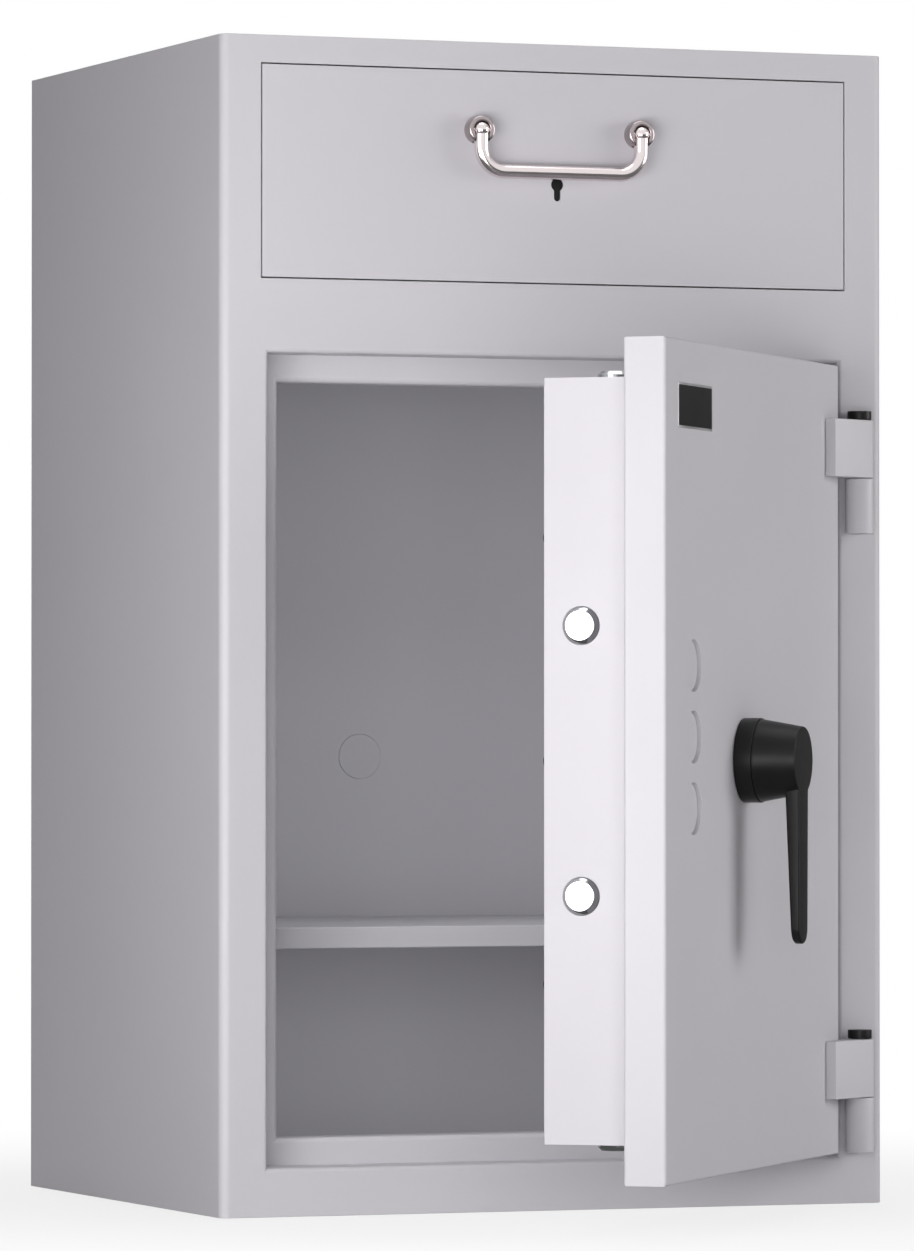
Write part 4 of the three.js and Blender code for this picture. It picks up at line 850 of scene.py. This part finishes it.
def sheet_on_door(border, proud, corner, rim):
    """A rounded rectangle on the door's face, proud of it by some tenths of a millimetre."""
    x0, x1 = PLATE_X[0] + border, PLATE_X[1] - border
    z0, z1 = PLATE_Z[0] + border, PLATE_Z[1] - border
    outline = filleted([[x0, z0], [x1, z0], [x1, z1], [x0, z1]], [corner] * 4, closed=True, steps=5)
    points, faces = drawn(outline, 0, proud, rim, 3)
    return np.stack([points[:, 0], FRONT - 0.02 - points[:, 2], points[:, 1]], -1), faces


rim_sheet = sheet_on_door(0, 0.5, 1.5, 0.15)
field_sheet = sheet_on_door(RIM_WIDTH, 0.7, 0.8, 0.1)
add_piece("door_label_rim", rim_sheet, "door", plate_rim, carry=on_open_door)
add_piece(
    "door_label_field", field_sheet, "door", plate_black,
    carry=on_open_door,
)

# %% [markdown]
# ## Floor, backdrop and light
#
# The picture has a plain white ground. The floor is pale and takes the lamps' light near the safe,
# so the contact shadow shows, and turns to plain white further out. The sky is white to the camera.
# In reflections it is white on the key side and grey on the other, as a studio with one white wall
# would be, because polished metal needs something dark to mirror. Soft lamps do the lighting, and
# three weak ones open up the dark compartment. One lamp on the right isn't mirrored by metal, so
# that the underside of the drawer handle stays dark.

# %% Floor
floor_mesh = bpy.data.meshes.new("floor")
floor_mesh.from_pydata([(-60, -60, 0), (60, -60, 0), (60, 60, 0), (-60, 60, 0)], [], [(0, 1, 2, 3)])
floor = bpy.data.objects.new("floor", floor_mesh)
floor.location.z = -0.0005
bpy.context.scene.collection.objects.link(floor)

floor_paint = bpy.data.materials.new("floor_paint")
floor_paint.use_nodes = True
tree = floor_paint.node_tree
tree.nodes.clear()
surface = tree.nodes.new("ShaderNodeOutputMaterial")
matt = tree.nodes.new("ShaderNodeBsdfDiffuse")
matt.inputs["Color"].default_value = (0.8, 0.8, 0.8, 1)
white = tree.nodes.new("ShaderNodeEmission")
white.inputs["Strength"].default_value = 1.0
place = tree.nodes.new("ShaderNodeTexCoord")
reach = tree.nodes.new("ShaderNodeVectorMath")
reach.operation = "LENGTH"
fade = tree.nodes.new("ShaderNodeMapRange")
fade.interpolation_type = "SMOOTHSTEP"
fade.inputs["From Min"].default_value = 0.2
fade.inputs["From Max"].default_value = 1.3
fade.inputs["To Min"].default_value = 0.76
mirrored_floor = tree.nodes.new("ShaderNodeEmission")
mirrored_floor.inputs["Strength"].default_value = 0.16
ray = tree.nodes.new("ShaderNodeLightPath")
amount = tree.nodes.new("ShaderNodeMath")
amount.operation = "MULTIPLY"
near_or_far = tree.nodes.new("ShaderNodeMixShader")
mirror_or_not = tree.nodes.new("ShaderNodeMixShader")
tree.links.new(place.outputs["Object"], reach.inputs[0])
tree.links.new(reach.outputs["Value"], fade.inputs["Value"])
tree.links.new(fade.outputs["Result"], amount.inputs[0])
tree.links.new(ray.outputs["Is Camera Ray"], amount.inputs[1])
tree.links.new(amount.outputs["Value"], near_or_far.inputs["Fac"])
tree.links.new(matt.outputs["BSDF"], near_or_far.inputs[1])
tree.links.new(white.outputs["Emission"], near_or_far.inputs[2])
tree.links.new(ray.outputs["Is Glossy Ray"], mirror_or_not.inputs["Fac"])
tree.links.new(near_or_far.outputs["Shader"], mirror_or_not.inputs[1])
tree.links.new(mirrored_floor.outputs["Emission"], mirror_or_not.inputs[2])
tree.links.new(mirror_or_not.outputs["Shader"], surface.inputs["Surface"])
floor_mesh.materials.append(floor_paint)

# %% Sky
EVEN_LIGHT = 0.015
world = bpy.data.worlds.new("studio")
bpy.context.scene.world = world
world.use_nodes = True
tree = world.node_tree
tree.nodes.clear()
surface = tree.nodes.new("ShaderNodeOutputWorld")


def background(strength):
    node = tree.nodes.new("ShaderNodeBackground")
    node.inputs["Color"].default_value = (1, 1, 1, 1)
    node.inputs["Strength"].default_value = strength
    return node


def between(factor, first, second):
    node = tree.nodes.new("ShaderNodeMixShader")
    tree.links.new(factor, node.inputs["Fac"])
    tree.links.new(first.outputs[0], node.inputs[1])
    tree.links.new(second.outputs[0], node.inputs[2])
    return node


even, white, mirrored = background(EVEN_LIGHT), background(1.0), background(1.0)
place = tree.nodes.new("ShaderNodeTexCoord")
facing = tree.nodes.new("ShaderNodeVectorMath")
facing.operation = "DOT_PRODUCT"
facing.inputs[1].default_value = (-0.35, -0.6, 0.72)
shade = tree.nodes.new("ShaderNodeMapRange")
shade.interpolation_type = "SMOOTHSTEP"
shade.inputs["From Min"].default_value = -0.35
shade.inputs["From Max"].default_value = 0.55
shade.inputs["To Min"].default_value = 0.16
shade.inputs["To Max"].default_value = 1.0
tree.links.new(place.outputs["Generated"], facing.inputs[0])
tree.links.new(facing.outputs["Value"], shade.inputs["Value"])
tree.links.new(shade.outputs["Result"], mirrored.inputs["Strength"])
ray = tree.nodes.new("ShaderNodeLightPath")
reflected = between(ray.outputs["Is Glossy Ray"], even, mirrored)
seen = between(ray.outputs["Is Camera Ray"], reflected, white)
tree.links.new(seen.outputs["Shader"], surface.inputs["Surface"])


# %% Lamps
WARM_WHITE = (1.0, 0.988, 0.988)


def soft_lamp(name, azimuth, elevation, distance, size, power, height=0.5):
    """A square lamp at a compass angle from the front (positive to the right), facing the safe."""
    light = bpy.data.lights.new(name, "AREA")
    light.shape = "SQUARE"
    light.size = size
    light.color = WARM_WHITE
    light.energy = power
    lamp = bpy.data.objects.new(name, light)
    across, up = math.radians(azimuth), math.radians(elevation)
    level = math.cos(up)
    away = np.array([math.sin(across) * level, -math.cos(across) * level, math.sin(up)])
    lamp.location = tuple(away * distance + [0, 0, height])
    lamp.rotation_euler = (math.pi / 2 - up, 0, across)
    bpy.context.scene.collection.objects.link(lamp)
    return lamp


LAMPS = {
    "near_left_lamp": (-44, 5, 1.8, 0.8, 8.0),
    "low_left_lamp": (-50, 0, 2.4, 1.0, 19.0, 0.2),
    "low_lamp": (-20, 0, 2.4, 1.2, 25.2, 0.15),
    "front_right_lamp": (40, 10, 3.2, 2.0, 6.9),
    "right_lamp": (65, 10, 3.2, 1.5, 41.2),
    "top_lamp": (0, 86, 3.0, 2.0, 22),
    "rear_lamp": (170, 20, 3.2, 2.0, 45),
}
for name, values in LAMPS.items():
    lamp = soft_lamp(name, *values)
    lamp.visible_glossy = name != "front_right_lamp"


# %% Lights inside the compartment
def inside_lamp(name, depth, height, lean, power):
    """A small lamp that shines down, or leans so many degrees towards the rear wall."""
    light = bpy.data.lights.new(name, "AREA")
    light.shape = "RECTANGLE"
    light.size, light.size_y = 0.4, 0.1
    light.spread = math.radians(120)
    light.energy = power
    lamp = bpy.data.objects.new(name, light)
    lamp.location = (0, depth, height)
    lamp.rotation_euler.x = math.radians(lean)
    bpy.context.scene.collection.objects.link(lamp)


INSIDE_LAMPS = {
    "upper_inside_lamp": (-0.12, 0.7, 0, 0.36),
    "rear_wall_lamp": (-0.1, 0.7, 55, 0.085),
    "lower_inside_lamp": (-0.14, 0.19, 62, 0.09),
}
for name, values in INSIDE_LAMPS.items():
    inside_lamp(name, *values)

# %% [markdown]
# ## Closing
#
# Standard view transform keeps colours as they are written.

# %% View transform
bpy.context.scene.view_settings.view_transform = "Standard"
